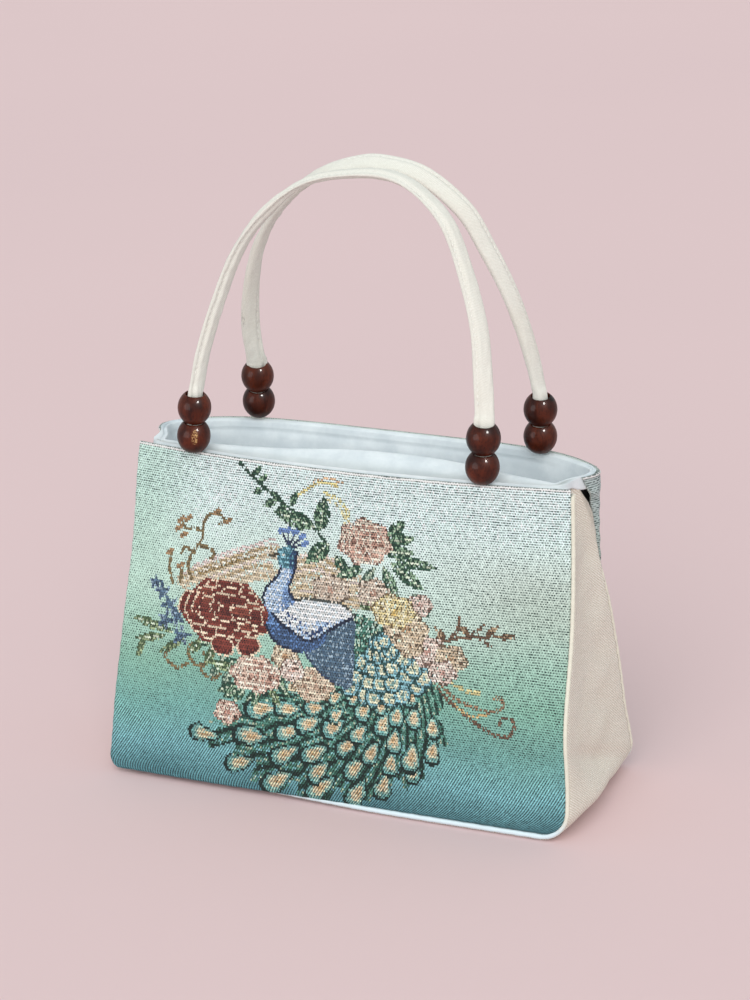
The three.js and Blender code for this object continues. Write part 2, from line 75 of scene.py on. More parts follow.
# The body's level sections
SECTION_NAMES = ("z", "front_left", "front_right", "front_bow", "back", "back_bow", "back_power",
                 "pinch", "wrap")
SECTION_ROWS = (
    (3.5, -49, -49, 1, 49, 1, 2, 0, 0),
    (14, -47, -48.4, 1.4, 46, 2, 2, 1, 0),
    (24, -45.6, -46.6, 2, 43.2, 3, 2.2, 1.6, 0),
    (36, -44, -46, 2.6, 39, 4.4, 2.4, 2, 0),
    (50, -41.2, -46, 3.4, 36, 6, 2.6, 2.4, 0),
    (64, -38, -42.6, 4.2, 33, 7.4, 2.8, 2.8, 0),
    (80, -34.4, -36.2, 5, 28.5, 9.4, 3, 3.2, 0),
    (95, -30.6, -30.6, 6, 23.8, 11.6, 3.4, 3.6, 0),
    (110, -26.8, -26.8, 7, 20, 14, 3.8, 4, 0.8),
    (128, -24, -23.4, 8.2, 18.6, 16.4, 4.2, 4.4, 3.4),
    (146, -22.2, -20.8, 9.6, 19, 18.6, 4.6, 4.8, 8.4),
    (164.5, -19.3, -18.4, 11, 20, 20, 5, 5, 20.5),
)
SECTIONS = dict(zip(SECTION_NAMES, np.array(SECTION_ROWS, float).T))

# The gap at the rim between the gusset and the back cloth turned round the side; the spot and its reach
# place a painted shadow on the lining's hidden side there
GAP_SHADOW_SPOT = (107.0, 12.0, 152.5)
GAP_SHADOW_REACH = (9, 15, 7.5)
GAP_HEIGHT = 155.6
GAP_REACH = 4.0
GAP_LIFT = 1.6
GAP_HOLLOW = 3.0


# Shared shapes

RIPPLE_WAVES = 7


def lerp(first, second, share):
    return first + (second - first) * share


def ease(value, low, high):
    """Rises smoothly from 0 at low to 1 at high."""
    share = np.clip((value - low) / (high - low), 0, 1)
    return share * share * (3 - 2 * share)


def bell(value, middle, reach):
    """A smooth bump: 1 at the middle, fading out to both sides over the reach."""
    return np.exp(-(((value - middle) / reach) ** 2))


def beside(*values):
    """Arrays and plain numbers put side by side as the last axis, such as x, y and z into points."""
    return np.stack(np.broadcast_arrays(*values), -1)


def unit(vectors):
    return vectors / np.maximum(np.linalg.norm(vectors, axis=-1, keepdims=True), 1e-9)


def run_lengths(points):
    """How far along a path each of its points is."""
    steps = np.linalg.norm(np.diff(points, axis=0), axis=1)
    return np.concatenate([[0], np.cumsum(steps)])


def curve_through(places, values, at):
    """A smooth curve through a table's values, read at any places."""
    places = np.asarray(places, float)
    values = np.asarray(values, float)
    slopes = np.empty_like(values)
    slopes[1:-1] = (values[2:] - values[:-2]) / (places[2:] - places[:-2])
    slopes[0] = (values[1] - values[0]) / (places[1] - places[0])
    slopes[-1] = (values[-1] - values[-2]) / (places[-1] - places[-2])
    at = np.clip(at, places[0], places[-1])
    low = np.clip(np.searchsorted(places, at, side="right") - 1, 0, len(places) - 2)
    span = places[low + 1] - places[low]
    share = (at - places[low]) / span
    leave = share * (1 - share) ** 2 * span * slopes[low]
    arrive = share * share * (share - 1) * span * slopes[low + 1]
    return lerp(values[low], values[low + 1], ease(share, 0, 1)) + leave + arrive


def ripples(first, second, scale, seed):
    """Soft unevenness of about unit height: crossing waves near one wavelength."""
    waves = np.random.default_rng(seed)
    total = np.zeros(np.broadcast(first, second).shape)
    for _ in range(RIPPLE_WAVES):
        angle = waves.uniform(0, TURN)
        length = scale * waves.uniform(0.7, 1.6)
        phase = waves.uniform(0, TURN)
        run = first * math.cos(angle) + second * math.sin(angle)
        total = total + np.sin(TURN * run / length + phase)
    return total / math.sqrt(RIPPLE_WAVES)


def section(name, z):
    return curve_through(SECTIONS["z"], SECTIONS[name], z)


def half_width(z):
    return lerp(FOOT_HALF_WIDTH, RIM_HALF_WIDTH, (z - PANEL_FOOT) / PANEL_HEIGHT)


def rounded_off(gap, radius):
    """How far a rounded corner or a turned edge falls back, by the gap left to its end."""
    into = np.clip(radius - gap, 0, radius)
    return radius - np.sqrt(radius**2 - into**2)


def rounded_half(z):
    """Half of a panel's width at a height, narrowing round the lower corners."""
    return half_width(z) - rounded_off(z - PANEL_FOOT, CORNER_RADIUS)


def front_depth(across, z):
    seam = lerp(section("front_left", z), section("front_right", z), (across + 1) / 2)
    return seam - section("front_bow", z) * (1 - across**2)


def back_depth(across, z):
    return section("back", z) + section("back_bow", z) * (1 - np.abs(across) ** section("back_power", z))


def covered(share):
    """How far the picture cloth hangs over the front seam edge along the foot, from left to right."""
    return 1 - ease(share, -0.62, 0.3)


def front_face(share, height):
    """Points of the front panel's outer face, by the share of its width and of its height; its left
    corner is tighter and laps over the seam edge."""
    foot = PANEL_FOOT - FOOT_LAP * covered(share)
    z = lerp(foot, RIM_HEIGHT, height)
    radius = np.where(share < 0, LEFT_CORNER_RADIUS, CORNER_RADIUS)
    half = half_width(z) + SIDE_LAP * covered(share) - rounded_off(z - foot, radius)
    return beside(share * half, front_depth(share, z), z)


def wrap_width(z):
    return np.maximum(section("wrap", z), 1e-6)


def back_slope(z):
    """How steeply the back cloth comes forward where it meets the side."""
    return section("back_power", z) * section("back_bow", z) / rounded_half(z)


def wrap_bulge(z):
    """How far the back cloth would stand out beyond the side where it turns round it."""
    return 0.62 * wrap_width(z) / np.hypot(1, back_slope(z))


def back_face(share, height):
    """Points of the back panel's outer face, which turns round the sides near the rim."""
    z = lerp(PANEL_FOOT, RIM_HEIGHT, height)
    half = rounded_half(z)
    wrap = wrap_width(z)
    bulge = wrap_bulge(z)
    seam = section("back", z)
    reach = np.abs(share) * (half + wrap)
    turned = reach > half
    t = np.clip((reach - half) / wrap, 0, 1)
    arc = 2 * t * (1 - t)
    lifted = GAP_LIFT * ease(t, 0.4, 1.0) * bell(z, GAP_HEIGHT, GAP_REACH)
    turned_y = (1 - t) ** 2 * seam + arc * (seam - bulge * back_slope(z)) + t * t * (seam - wrap)
    x = np.where(turned, half + arc * bulge + lifted, reach)
    y = np.where(turned, turned_y, back_depth(np.minimum(reach / half, 1), z))
    return beside(np.sign(share) * x, y, z)


# Mesh building

def grid_normals(points, closed=False):
    """Normals of a grid of points, from its steps along the rows and up the columns."""
    if closed:
        along = np.roll(points, -1, axis=1) - np.roll(points, 1, axis=1)
    else:
        along = np.gradient(points, axis=1)
    return unit(np.cross(along, np.gradient(points, axis=0)))


def grid_faces(rows, columns, start=0, closed=False, looped=False):
    """Quads of a grid; its rows may be closed rings, and its last row may join its first."""
    index = start + np.arange(rows * columns).reshape(rows, columns)
    if closed:
        index = np.concatenate([index, index[:, :1]], axis=1)
    if looped:
        index = np.concatenate([index, index[:1]])
    return beside(index[:-1, :-1], index[:-1, 1:], index[1:, 1:], index[1:, :-1]).reshape(-1, 4)


def border_loop(rows, columns, start=0):
    """Indices round a grid's border and each one's place along it, a unit to each side."""
    index = start + np.arange(rows * columns).reshape(rows, columns)
    sides = (index[0, :-1], index[:-1, -1], index[-1, :0:-1], index[:0:-1, 0])
    loop = [*np.concatenate(sides).tolist(), start]
    places = [number + np.arange(len(side)) / len(side) for number, side in enumerate(sides)]
    return loop, [*np.concatenate(places).tolist(), len(sides)]


def bridge(first, first_places, second, second_places):
    """Triangles between two runs of points that start and end beside each other."""
    faces = []
    i = j = 0
    while i < len(first) - 1 or j < len(second) - 1:
        first_done = i == len(first) - 1
        second_done = j == len(second) - 1
        if second_done or (not first_done and first_places[i + 1] <= second_places[j + 1]):
            faces.append((first[i], second[j], first[i + 1]))
            i += 1
        else:
            faces.append((first[i], second[j], second[j + 1]))
            j += 1
    return faces


def placed(name, data):
    """A new object in the scene."""
    made = bpy.data.objects.new(name, data)
    bpy.context.scene.collection.objects.link(made)
    return made


def make_piece(name, points, faces, material, slot, replaced=(), flat=None):
    """A smooth mesh from points in millimetres, riding on the bag; flat gives each point's place
    on the uncut cloth, in millimetres, for the weave."""
    mesh = bpy.data.meshes.new(name)
    corners = [list(map(int, face)) for face in faces]
    mesh.from_pydata((np.asarray(points, float) * MM).tolist(), [], corners)
    mesh.update()
    mesh.polygons.foreach_set("use_smooth", np.ones(len(mesh.polygons), bool))
    if flat is not None:
        corner_points = np.empty(len(mesh.loops), np.int32)
        mesh.loops.foreach_get("vertex_index", corner_points)
        layer = mesh.uv_layers.new(name="weave")
        layer.data.foreach_set("uv", np.asarray(flat, np.float32)[corner_points].ravel())
    mesh.materials.append(material)
    piece = placed(name, mesh)
    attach(piece, BODY)
    if replaced:
        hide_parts(*replaced)
    return piece


def shell(outer, inner, closed=False):
    """Points and faces of a sheet with thickness, from its two faces as matching grids."""
    rows, columns = outer.shape[:2]
    count = rows * columns
    points = np.concatenate([outer.reshape(-1, 3), inner.reshape(-1, 3)])
    faces = grid_faces(rows, columns, 0, closed).tolist()
    faces += grid_faces(rows, columns, count, closed)[:, ::-1].tolist()
    if not closed:
        loop, places = border_loop(rows, columns)
        return points, faces + bridge(loop, places, [index + count for index in loop], places)
    for first, order in ((0, 1), (count - columns, -1)):
        edge = first + np.arange(columns)
        ahead = np.roll(edge, -1)
        faces += beside(edge, edge + count, ahead + count, ahead)[:, ::order].tolist()
    return points, faces


def circles(middle, first, second, radius, sides):
    """Rings of points round a path, in the plane of two directions across it."""
    angle = TURN * np.arange(sides) / sides
    ring = np.cos(angle)[:, None] * first[:, None] + np.sin(angle)[:, None] * second[:, None]
    return middle[:, None] + ring * radius[:, None, None]


def path_directions(middle):
    """Directions along a path, across it toward the back, and square to both."""
    along = unit(np.gradient(middle, axis=0))
    across = unit(np.array([0, 1.0, 0]) - along * along[:, 1:2])
    return along, across, np.cross(along, across)


def tube(rings, name, material, slot, replaced, lengths, girth):
    """A closed tube from matching rings of points, its ends capped to their middles."""
    count, sides = rings.shape[:2]
    points = [*rings.reshape(-1, 3), rings[0].mean(axis=0), rings[-1].mean(axis=0)]
    faces = grid_faces(count, sides, 0, closed=True)[:, ::-1].tolist()
    for end, (ring, order) in enumerate(((0, 1), (count - 1, -1))):
        edge = ring * sides + np.arange(sides)
        for pair in zip(edge, np.roll(edge, -1)):
            faces.append((*pair[::order], count * sides + end))
    around = np.tile(np.arange(sides) / sides * girth, count)
    ends = [[lengths[0], 0], [lengths[-1], 0]]
    flat = np.concatenate([beside(np.repeat(lengths, sides), around), ends])
    return make_piece(name, points, faces, material, slot, replaced, flat)


# Materials

# Weave of the picture cloth: each row of threads is two mesh rows, each cell two mesh columns
ROW_PITCH = 1.15
CELL_PITCH = 1.41

# The lining's hidden side has this added to its place across the cloth, so that it can be told apart for
# the painted shadow in the gap
WRONG_SIDE = 1000.0
LINING_THREAD = 0.62

# Places of wear: a rubbed spot on one bead, a chip in another, grey specks on one strap
WORN_BEAD_SPOT = (-74.9, -31.8, 173.9)
CHIPPED_BEAD_SPOT = (84.5, 27.3, 193.2)
STRAP_SPECKS = (-72.6, 22.4, 221.0)


def srgb(red, green, blue):
    """A colour given as it looks on a screen, from 0 to 255, as linear light."""
    share = np.array([red, green, blue], float) / 255
    return np.where(share <= 0.04045, share / 12.92, ((share + 0.055) / 1.055) ** 2.4)


def rgba(red, green, blue):
    return (*srgb(red, green, blue), 1.0)


class Value:
    """A node's output, with arithmetic that adds the nodes it needs."""

    def __init__(self, graph, socket):
        self.graph = graph
        self.socket = socket

    def __add__(self, other):
        return self.graph.math("ADD", self, other)

    def __sub__(self, other):
        return self.graph.math("SUBTRACT", self, other)

    def __rsub__(self, other):
        return self.graph.math("SUBTRACT", other, self)

    def __mul__(self, other):
        return self.graph.math("MULTIPLY", self, other)

    def __truediv__(self, other):
        return self.graph.math("DIVIDE", self, other)

    def __mod__(self, other):
        return self.graph.math("MODULO", self, other)

    def __abs__(self):
        return self.graph.math("ABSOLUTE", self)

    def __round__(self):
        return self.graph.math("ROUND", self)


class Graph:
    """Short calls for building one material's node tree."""

    def __init__(self, name):
        self.material = bpy.data.materials.new(name)
        self.material.use_nodes = True
        self.tree = self.material.node_tree
        self.tree.nodes.clear()
        self.shader = self.node("BsdfPrincipled")
        self.node("OutputMaterial", {"Surface": Value(self, self.shader.outputs["BSDF"])})
        self.place = self.output("Object", "TexCoord")

    def feed(self, socket, value):
        if isinstance(value, Value):
            self.tree.links.new(value.socket, socket)
        else:
            socket.default_value = value

    def node(self, kind, inputs=(), **settings):
        """A new node with its settings; inputs says what feeds each input, by its number or name."""
        made = self.tree.nodes.new(f"ShaderNode{kind}")
        for key, value in settings.items():
            setattr(made, key, value)
        for key, value in dict(inputs).items():
            self.feed(made.inputs[key], value)
        return made

    def output(self, key, kind, inputs=(), **settings):
        """One output of a new node."""
        return Value(self, self.node(kind, inputs, **settings).outputs[key])

    def parts(self, kind, whole):
        """The parts of a vector or a colour."""
        return [Value(self, socket) for socket in self.node(kind, {0: whole}).outputs]

    def set(self, **values):
        """Sets or links the shader's inputs, an underscore standing for each space."""
        for key, value in values.items():
            self.feed(self.shader.inputs[key.replace("_", " ")], value)

    def math(self, operation, *values):
        return self.output(0, "Math", dict(enumerate(values)), operation=operation)

    def vector_math(self, operation, *values):
        return self.output(0, "VectorMath", dict(enumerate(values)), operation=operation)

    def mix(self, share, first, second, blend="MIX"):
        inputs = {0: share, 6: first, 7: second}
        return self.output(2, "Mix", inputs, data_type="RGBA", blend_type=blend)

    def rise(self, value, low, high):
        """Rises smoothly from 0 at low to 1 at high."""
        return self.output(0, "MapRange", {0: value, 1: low, 2: high}, interpolation_type="SMOOTHSTEP")

    def swing(self, turns):
        """Goes smoothly from 0 to 1 and back, once for each whole turn."""
        return self.math("SINE", turns * TURN) * 0.5 + 0.5

    def attribute(self, name, key):
        return self.output(key, "Attribute", attribute_name=name)

    def flat_place(self):
        """The place on the uncut cloth, along and across, in millimetres."""
        return self.parts("SeparateXYZ", self.output(0, "UVMap", uv_map="weave"))[:2]

    def noise(self, scale, detail=2.0, roughness=0.5, vector=None):
        inputs = {"Vector": vector or self.place, "Scale": scale, "Detail": detail, "Roughness": roughness}
        return self.output(0, "TexNoise", inputs)

    def mark(self, place, reach, ragged):
        """1 near a point given in millimetres, fading out at a ragged edge; reach is along each axis."""
        away = self.vector_math("SUBTRACT", self.place, [value * MM for value in place])
        scaled = self.vector_math("DIVIDE", away, [value * MM for value in reach])
        size = self.output("Value", "VectorMath", {0: scaled}, operation="LENGTH")
        rough = (self.noise(1300.0, 3.0, 0.7) - 0.5) * (2 * ragged)
        return 1 - self.rise(size + rough, 0.8, 1.0)

    def bump(self, height, distance, strength):
        """Raises the surface by a height whose unit is the distance, in millimetres."""
        inputs = {"Distance": distance * MM, "Strength": strength, "Height": height}
        self.set(Normal=self.output(0, "Bump", inputs))


def jacquard_material():
    """Woven picture cloth: thread colours from the mesh, with dark ties sunk between the cells, or slanting
    ridges where the mesh says so. The ties and ridges take a darker copy of the thread colour: partly the
    dark warp, partly painted shade in the sunk places."""
    graph = Graph("jacquard_weave")
    along, upward = graph.flat_place()
    thread = graph.attribute("thread", "Color")
    tie = graph.attribute("tie", "Fac")
    slant = graph.attribute("slant", "Fac")
    line = upward / ROW_PITCH + (graph.noise(85.0) - 0.5) * 0.7
    groove = round(line)
    off_groove = abs(line - groove)
    place = along / CELL_PITCH + groove % 2 * 0.5
    cell = round(place)
    key = graph.output(0, "CombineXYZ", {0: cell, 1: groove})
    chance = graph.output("Color", "TexWhiteNoise", {"Vector": key}, noise_dimensions="2D")
    stray, length, depth = graph.parts("SeparateColor", chance)
    off_cell = abs(place - cell - (stray * 0.24 - 0.12))
    gone_across = off_cell / ((length * 0.9 + 0.55) * tie)
    gone_up = off_groove / 0.34
    gone = graph.math("SQRT", gone_across * gone_across + gone_up * gone_up)
    dots = (1 - graph.rise(gone, 0.62, 1.12)) * (depth * 0.5 + 0.5)
    ridge = graph.rise(graph.swing(along / CELL_PITCH - line * 0.5), 0.34, 0.66)
    broken = 1 - graph.rise(off_groove, 0.1, 0.45) * 0.25
    sunk = dots + slant * (ridge * broken * (length * 0.25 + 0.75) - dots)
    # Painted shade, in part: the sunk ties and ridges get a darker copy of the thread colour
    dark = graph.mix(1.0, thread, rgba(36, 60, 62), "MULTIPLY")
    yarn = graph.rise(graph.noise(1400.0, 2.0, 0.6), 0.3, 0.7)
    light = graph.mix(1.0, thread, graph.mix(yarn, rgba(234, 234, 234), rgba(255, 255, 255)), "MULTIPLY")
    graph.set(Base_Color=graph.mix(sunk, light, dark), Roughness=0.72, Specular_IOR_Level=0.32,
              Sheen_Weight=0.08, Sheen_Roughness=0.5)
    graph.bump(yarn * 0.12 - off_groove * off_groove * 1.2 - sunk, 0.2, 0.8)
    return graph.material


def twill_material(name, light, shade, pitch, depth, specks=None, at_foot=None):
    """Cotton cloth with fine slanting ribs, their grooves coloured darker as painted shade, with faint
    soiling and uneven yarn; grey specks at one place, another tint near the floor."""
    graph = Graph(name)
    along, across = graph.flat_place()
    wobble = graph.noise(420.0) * (0.5 / TURN)
    rib = graph.swing((along + across * 0.78) / pitch + wobble)
    yarn = graph.swing((along - across) / (0.8 * pitch))
    height = rib * 0.65 + yarn * 0.35
    slub = graph.rise(graph.noise(1500.0, 3.0, 0.6), 0.35, 0.75)
    blotch = graph.rise(graph.noise(38.0, 4.0, 0.6), 0.45, 0.8)
    # Painted shade: the colour follows the rib height, darker in the grooves
    tone = graph.mix(height * 0.7 + slub * 0.3, shade, light)
    if specks:
        speckled = graph.mark(specks, (1.6, 5.0, 6.0), 0.9) * graph.rise(slub, 0.35, 0.7)
        tone = graph.mix(speckled * 0.7, tone, rgba(132, 130, 122))
    if at_foot:
        above_floor = graph.parts("SeparateXYZ", graph.place)[2]
        tinted = graph.mix(0.75, tone, at_foot)
        tone = graph.mix(graph.rise(above_floor, 3 * MM, 14 * MM), tinted, tone)
    warm = graph.mix(1.0, tone, rgba(243, 232, 212), "MULTIPLY")
    graph.set(Base_Color=graph.mix(blotch * 0.12, tone, warm), Roughness=0.85, Specular_IOR_Level=0.25,
              Sheen_Weight=0.12, Sheen_Roughness=0.6)
    graph.bump(height, depth, 0.8)
    return graph.material


def lining_material():
    """Smooth white lining cloth with a fine plain weave and faint creasing, its colour darker in the crease
    hollows as painted shade; painted shade greys the fold behind the front rim, and a painted shadow
    darkens its hidden side in the gap beside the gusset."""
    graph = Graph("white_lining")
    along, across = graph.flat_place()
    warp, weft = (graph.math("SINE", run * (TURN / LINING_THREAD)) for run in (along, across))
    crease = graph.noise(55.0, 5.0, 0.62)
    # Painted shade: the colour follows the crease height, darker in the hollows
    tone = graph.mix(graph.rise(crease, 0.3, 0.72), rgba(214, 224, 229), rgba(235, 243, 246))
    # Painted shade: the lip's fold just behind the front rim is coloured greyer
    in_front = 1 - graph.rise(along, 205.0, 222.0)
    folded = graph.rise(across, 2.0, 5.0) * (1 - graph.rise(across, 15.0, 30.0))
    greyer = graph.mix(1.0, tone, rgba(214, 214, 210), "MULTIPLY")
    tone = graph.mix(in_front * folded, tone, greyer)
    # Painted shadow: near-black on the lining's hidden side where it shows through the gap beside the
    # gusset
    hidden = graph.rise(across, 0.7 * WRONG_SIDE, 0.7 * WRONG_SIDE + 1)
    tone = graph.mix(hidden * graph.mark(GAP_SHADOW_SPOT, GAP_SHADOW_REACH, 0.1), tone, rgba(20, 20, 20))
    graph.set(Base_Color=tone, Roughness=0.6, Specular_IOR_Level=0.35, Sheen_Weight=0.1,
              Sheen_Roughness=0.4)
    graph.bump(crease + warp * weft * 0.08, 0.55, 0.5)
    return graph.material


def thread_material():
    """Sewing thread: off-white with a slight twist."""
    graph = Graph("sewing_thread")
    twist = graph.noise(2600.0, 1.0)
    graph.set(Base_Color=graph.mix(twist, rgba(214, 212, 204), rgba(246, 244, 238)), Roughness=0.6,
              Specular_IOR_Level=0.35)
    graph.bump(twist, 0.08, 0.6)
    return graph.material


def wood_material():
    """Lacquered dark red-brown wood with fine grain along the bore."""
    graph = Graph("lacquered_wood")
    stretched = graph.output(0, "Mapping", {"Vector": graph.place, "Scale": (1.0, 1.0, 0.5)})
    streak = graph.noise(1100.0, 4.0, 0.6, stretched)
    cloud = graph.noise(120.0, 3.0, 0.5, stretched)
    red = graph.mix(graph.rise(cloud, 0.3, 0.7), rgba(42, 15, 10), rgba(92, 38, 20))
    tone = graph.mix(graph.rise(streak, 0.45, 0.7) * 0.55, red, rgba(30, 10, 8))
    patchy = graph.rise(graph.noise(1500.0), 0.44, 0.58)
    rubbed = graph.mark(WORN_BEAD_SPOT, (1.5, 5.0, 3.6), 1.0) * patchy
    tone = graph.mix(rubbed, tone, rgba(190, 150, 100))
    tone = graph.mix(graph.mark(CHIPPED_BEAD_SPOT, (2.4, 3.0, 1.9), 0.4), tone, rgba(22, 9, 6))
    graph.set(Base_Color=tone, Roughness=0.45, Specular_IOR_Level=0.1, Coat_Weight=0.34,
              Coat_Roughness=0.06, Coat_IOR=1.38)
    graph.bump(streak, 0.03, 0.2)
    return graph.material


JACQUARD = jacquard_material()
CANVAS = twill_material("ivory_canvas", rgba(255, 254, 246), rgba(203, 191, 170), 1.4, 0.36)
WELT_CLOTH = twill_material("white_welt_cloth", rgba(242, 240, 226), rgba(214, 210, 192), 0.8, 0.1,
                            at_foot=rgba(216, 241, 254))
STRAP_CLOTH = twill_material("ivory_strap_cloth", rgba(240, 240, 232), rgba(212, 211, 200), 0.75, 0.1,
                             specks=STRAP_SPECKS)
LINING = lining_material()
THREAD = thread_material()
WOOD = wood_material()


# The woven picture: a bird among flowers, painted motif over motif on rows of thread

# Below this height the ties give way to slanting ridges
SLANT_TOP = 34.0

# Ground colours from the foot to the rim
GROUND_STOPS = (
    (0.0, (70, 115, 123)),
    (0.1, (113, 166, 172)),
    (0.23, (122, 178, 170)),
    (0.36, (140, 189, 170)),
    (0.46, (170, 209, 192)),
    (0.57, (201, 227, 215)),
    (0.72, (220, 243, 236)),
    (0.86, (232, 255, 252)),
    (1.0, (236, 255, 254)),
)

# Leaves, light then dark
LEAF_VEIN = (206, 220, 196)
LEAF_SHADES = {
    "deep": ((142, 174, 144), (38, 74, 58)),
    "grey": ((156, 176, 156), (62, 90, 78)),
    "moss": ((150, 168, 128), (74, 96, 66)),
    "brown": ((184, 160, 130), (104, 80, 60)),
}

# A feather's eye from the outside in: size, colour and cover
EYE_RINGS = (
    (1.34, (20, 46, 42), 0.98),
    (1.1, (112, 170, 166), 0.94),
    (0.94, (166, 200, 184), 0.7),
    (0.68, (228, 212, 178), 0.95),
    (0.34, (210, 178, 134), 0.8),
)

# Full flowers: the petals' edge, then their fills, the last one for shade
PEONY_EDGE = (232, 208, 182)
PEONY_REDS = ((122, 56, 46), (108, 46, 38), (132, 68, 54), (80, 34, 30))
PINK_EDGE = (236, 224, 206)
PINK_PETALS = ((206, 168, 150), (186, 146, 130), (216, 188, 170), (118, 86, 74))
TAN_EDGE = (228, 214, 190)
TAN_PETALS = ((204, 182, 160), (194, 166, 144), (212, 194, 172), (126, 102, 80))

# Round flowers: petal, pale edge, shade and heart
PINK = ((214, 180, 164), (234, 220, 202), (112, 82, 70), (198, 146, 128))
DUSTY = ((200, 182, 164), (224, 212, 196), (102, 88, 74), (182, 146, 128))
YELLOW = ((220, 204, 150), (232, 224, 190), (114, 94, 64), (206, 176, 106))
TAN = ((204, 184, 156), TAN_EDGE, (100, 82, 64), (176, 140, 106))
BLUSH = ((220, 198, 186), (234, 222, 210), (112, 88, 78), (204, 160, 146))
BLUES = ((88, 114, 138), (142, 166, 184))
BLUE_SHADE = (50, 68, 92)

# The tail's fan: its root, and its left and right edges
TAIL_ROOT = (14, 86)
TAIL_LEFT, TAIL_RIGHT = math.radians(218), math.radians(312)
FEATHER_SWEEP = 0.62

# How far the picture moves for each millimetre that the cloth bows out
VIEW_SHIFT_ACROSS, VIEW_SHIFT_UP = 0.434, 0.31


def through(points, count, closed=False):
    """A smooth line through a few points."""
    points = np.array(points, float)
    places = np.arange(len(points))
    last = len(points) - 1
    if closed:
        last = len(points)
        places = np.arange(-2, last + 3)
        points = points[places % last]
    at = np.linspace(0, last, count)
    return beside(*(curve_through(places, values, at) for values in points.T))


class Picture:
    """Thread colours over the panel, one for each half cell of every row."""

    def __init__(self, x, z):
        self.x = x
        self.z = z
        self.colour = ground_colour(x, z)
        self.chance = random.random(x.shape)
        self.drawn = np.zeros(x.shape, bool)

    def fill(self, mask, colour, cover=1.0):
        """Lays one colour over a mask; a cover under 1 leaves some threads as they were."""
        picked = mask if cover >= 1 else mask & (random.random(self.x.shape) < cover)
        self.colour[picked] = srgb(*colour)
        self.drawn |= picked

    def woven(self):
        """The finished colours: rows of a motif alternate lighter and darker, thread by thread."""
        row = np.indices(self.x.shape)[0]
        shade = np.where(row % 2 == 0, 1.18, 0.8) * lerp(0.8, 1.22, self.chance)
        shade = shade * lerp(0.7, 1.0, ease(self.z, SLANT_TOP - 12, SLANT_TOP + 10))
        return np.where(self.drawn[..., None], self.colour * shade[..., None], self.colour)

    def stripes(self, mask, lean, pitch, level, colour, cover):
        """Slanting stripes of one colour over a mask."""
        self.fill(mask & (np.sin(TURN * (self.x + lean * self.z) / pitch) > level), colour, cover)

    def local(self, x, z, angle):
        """Places relative to a point, along and across a direction."""
        off_x = self.x - x
        off_z = self.z - z
        along = off_x * math.cos(angle) + off_z * math.sin(angle)
        return along, off_z * math.cos(angle) - off_x * math.sin(angle)

    def area(self, outline):
        """Mask of a smooth closed outline."""
        line = through(outline, 12 * len(outline), closed=True)
        inside = np.zeros(self.x.shape, bool)
        for (x0, z0), (x1, z1) in zip(line[:-1], line[1:]):
            crosses = (z0 > self.z) != (z1 > self.z)
            if z0 != z1:
                inside ^= crosses & (self.x < x0 + (self.z - z0) * (x1 - x0) / (z1 - z0))
        return inside

    def stroke(self, points, width, colour, cover=1.0, end_width=None):
        """A line of thread along a smooth path, tapering to end_width."""
        line = through(points, 10 * len(points))
        widths = np.linspace(width, end_width or width, len(line))
        near = np.zeros(self.x.shape, bool)
        for start, end, wide in zip(line[:-1], line[1:], widths):
            step = end - start
            off_x = self.x - start[0]
            off_z = self.z - start[1]
            share = np.clip((off_x * step[0] + off_z * step[1]) / max(step @ step, 1e-9), 0, 1)
            near |= np.hypot(off_x - share * step[0], off_z - share * step[1]) < wide / 2
        self.fill(near, colour, cover)

    def leaf(self, base, tip, width, shade):
        """A pointed leaf from base to tip: dark threads crossed by light ribs, with a vein."""
        length = math.dist(base, tip)
        along, across = self.local(*base, math.atan2(tip[1] - base[1], tip[0] - base[0]))
        share = np.clip(along / length, 0, 1)
        half = width / 2 * np.sin(math.pi * share**0.85) ** 0.9
        inside = (along > 0) & (along < length) & (np.abs(across) < half)
        light, dark = LEAF_SHADES[shade]
        self.fill(inside, dark, 0.92)
        ribs = np.sin(TURN * (along - 1.3 * np.abs(across)) / 2.7) > 0.3
        self.fill(inside & ribs & (np.abs(across) < 0.75 * half), light, 0.72)
        self.fill(inside & (across > 0.2 * half) & (self.chance > 0.7), light)
        if width > 4:
            self.fill(inside & (np.abs(across) < 0.4) & (share < 0.85), LEAF_VEIN, 0.7)

    def leaves(self, shade, rows):
        """Leaves of one shade, each row a base, a tip and a width."""
        for base_x, base_z, tip_x, tip_z, width in rows:
            self.leaf((base_x, base_z), (tip_x, tip_z), width, shade)

    def peony(self, x, z, radius, squash, edge, fills, rows=8):
        """A full flower: rows of petals bent round the heart, each light along its outer edge."""
        off_x = np.abs(self.x - x) / radius
        off_z = np.abs(self.z - z) / (radius * squash)
        self.fill((off_z < 0.94) & (off_x < 0.96 - 0.58 * off_z**1.4), fills[0])
        petals = []
        for level in sorted(np.linspace(-0.86, 0.86, rows), key=lambda level: -abs(level)):
            run = 1 - 0.58 * abs(level) ** 1.4
            place = -run + random.uniform(0, 0.14)
            while place < run - 0.12:
                wide = random.uniform(0.22, 0.44)
                middle = place + wide / 2
                bend = 0.3 * level * (middle / run) ** 2
                tilt = math.atan2(-0.6 * squash * level * middle / run**2, 1)
                thick = radius * squash * random.uniform(1.16, 1.6) / rows
                up = level - bend + random.uniform(-0.06, 0.06)
                petals.append((middle, up, tilt, radius * wide * 0.58, thick, math.copysign(1, level)))
                place += 0.9 * wide
        petals.extend((-out, 0.2, 1.2, 0.24 * radius, 0.085 * radius, 1) for out in (0.88, 0.74, 0.6))
        for middle, up, tilt, long, thick, outward in petals:
            along, across = self.local(x + radius * middle, z + radius * squash * up, tilt)
            across = across * outward
            self.fill(np.hypot(along / long, across / thick) < 1, edge)
            inner = np.hypot(along / (long - 0.6), (across + 0.36) / (thick - 0.5)) < 1
            self.fill(inner, fills[random.integers(len(fills) - 1)])
            self.fill(inner & (across < -0.25 * thick), fills[-1], 0.5)

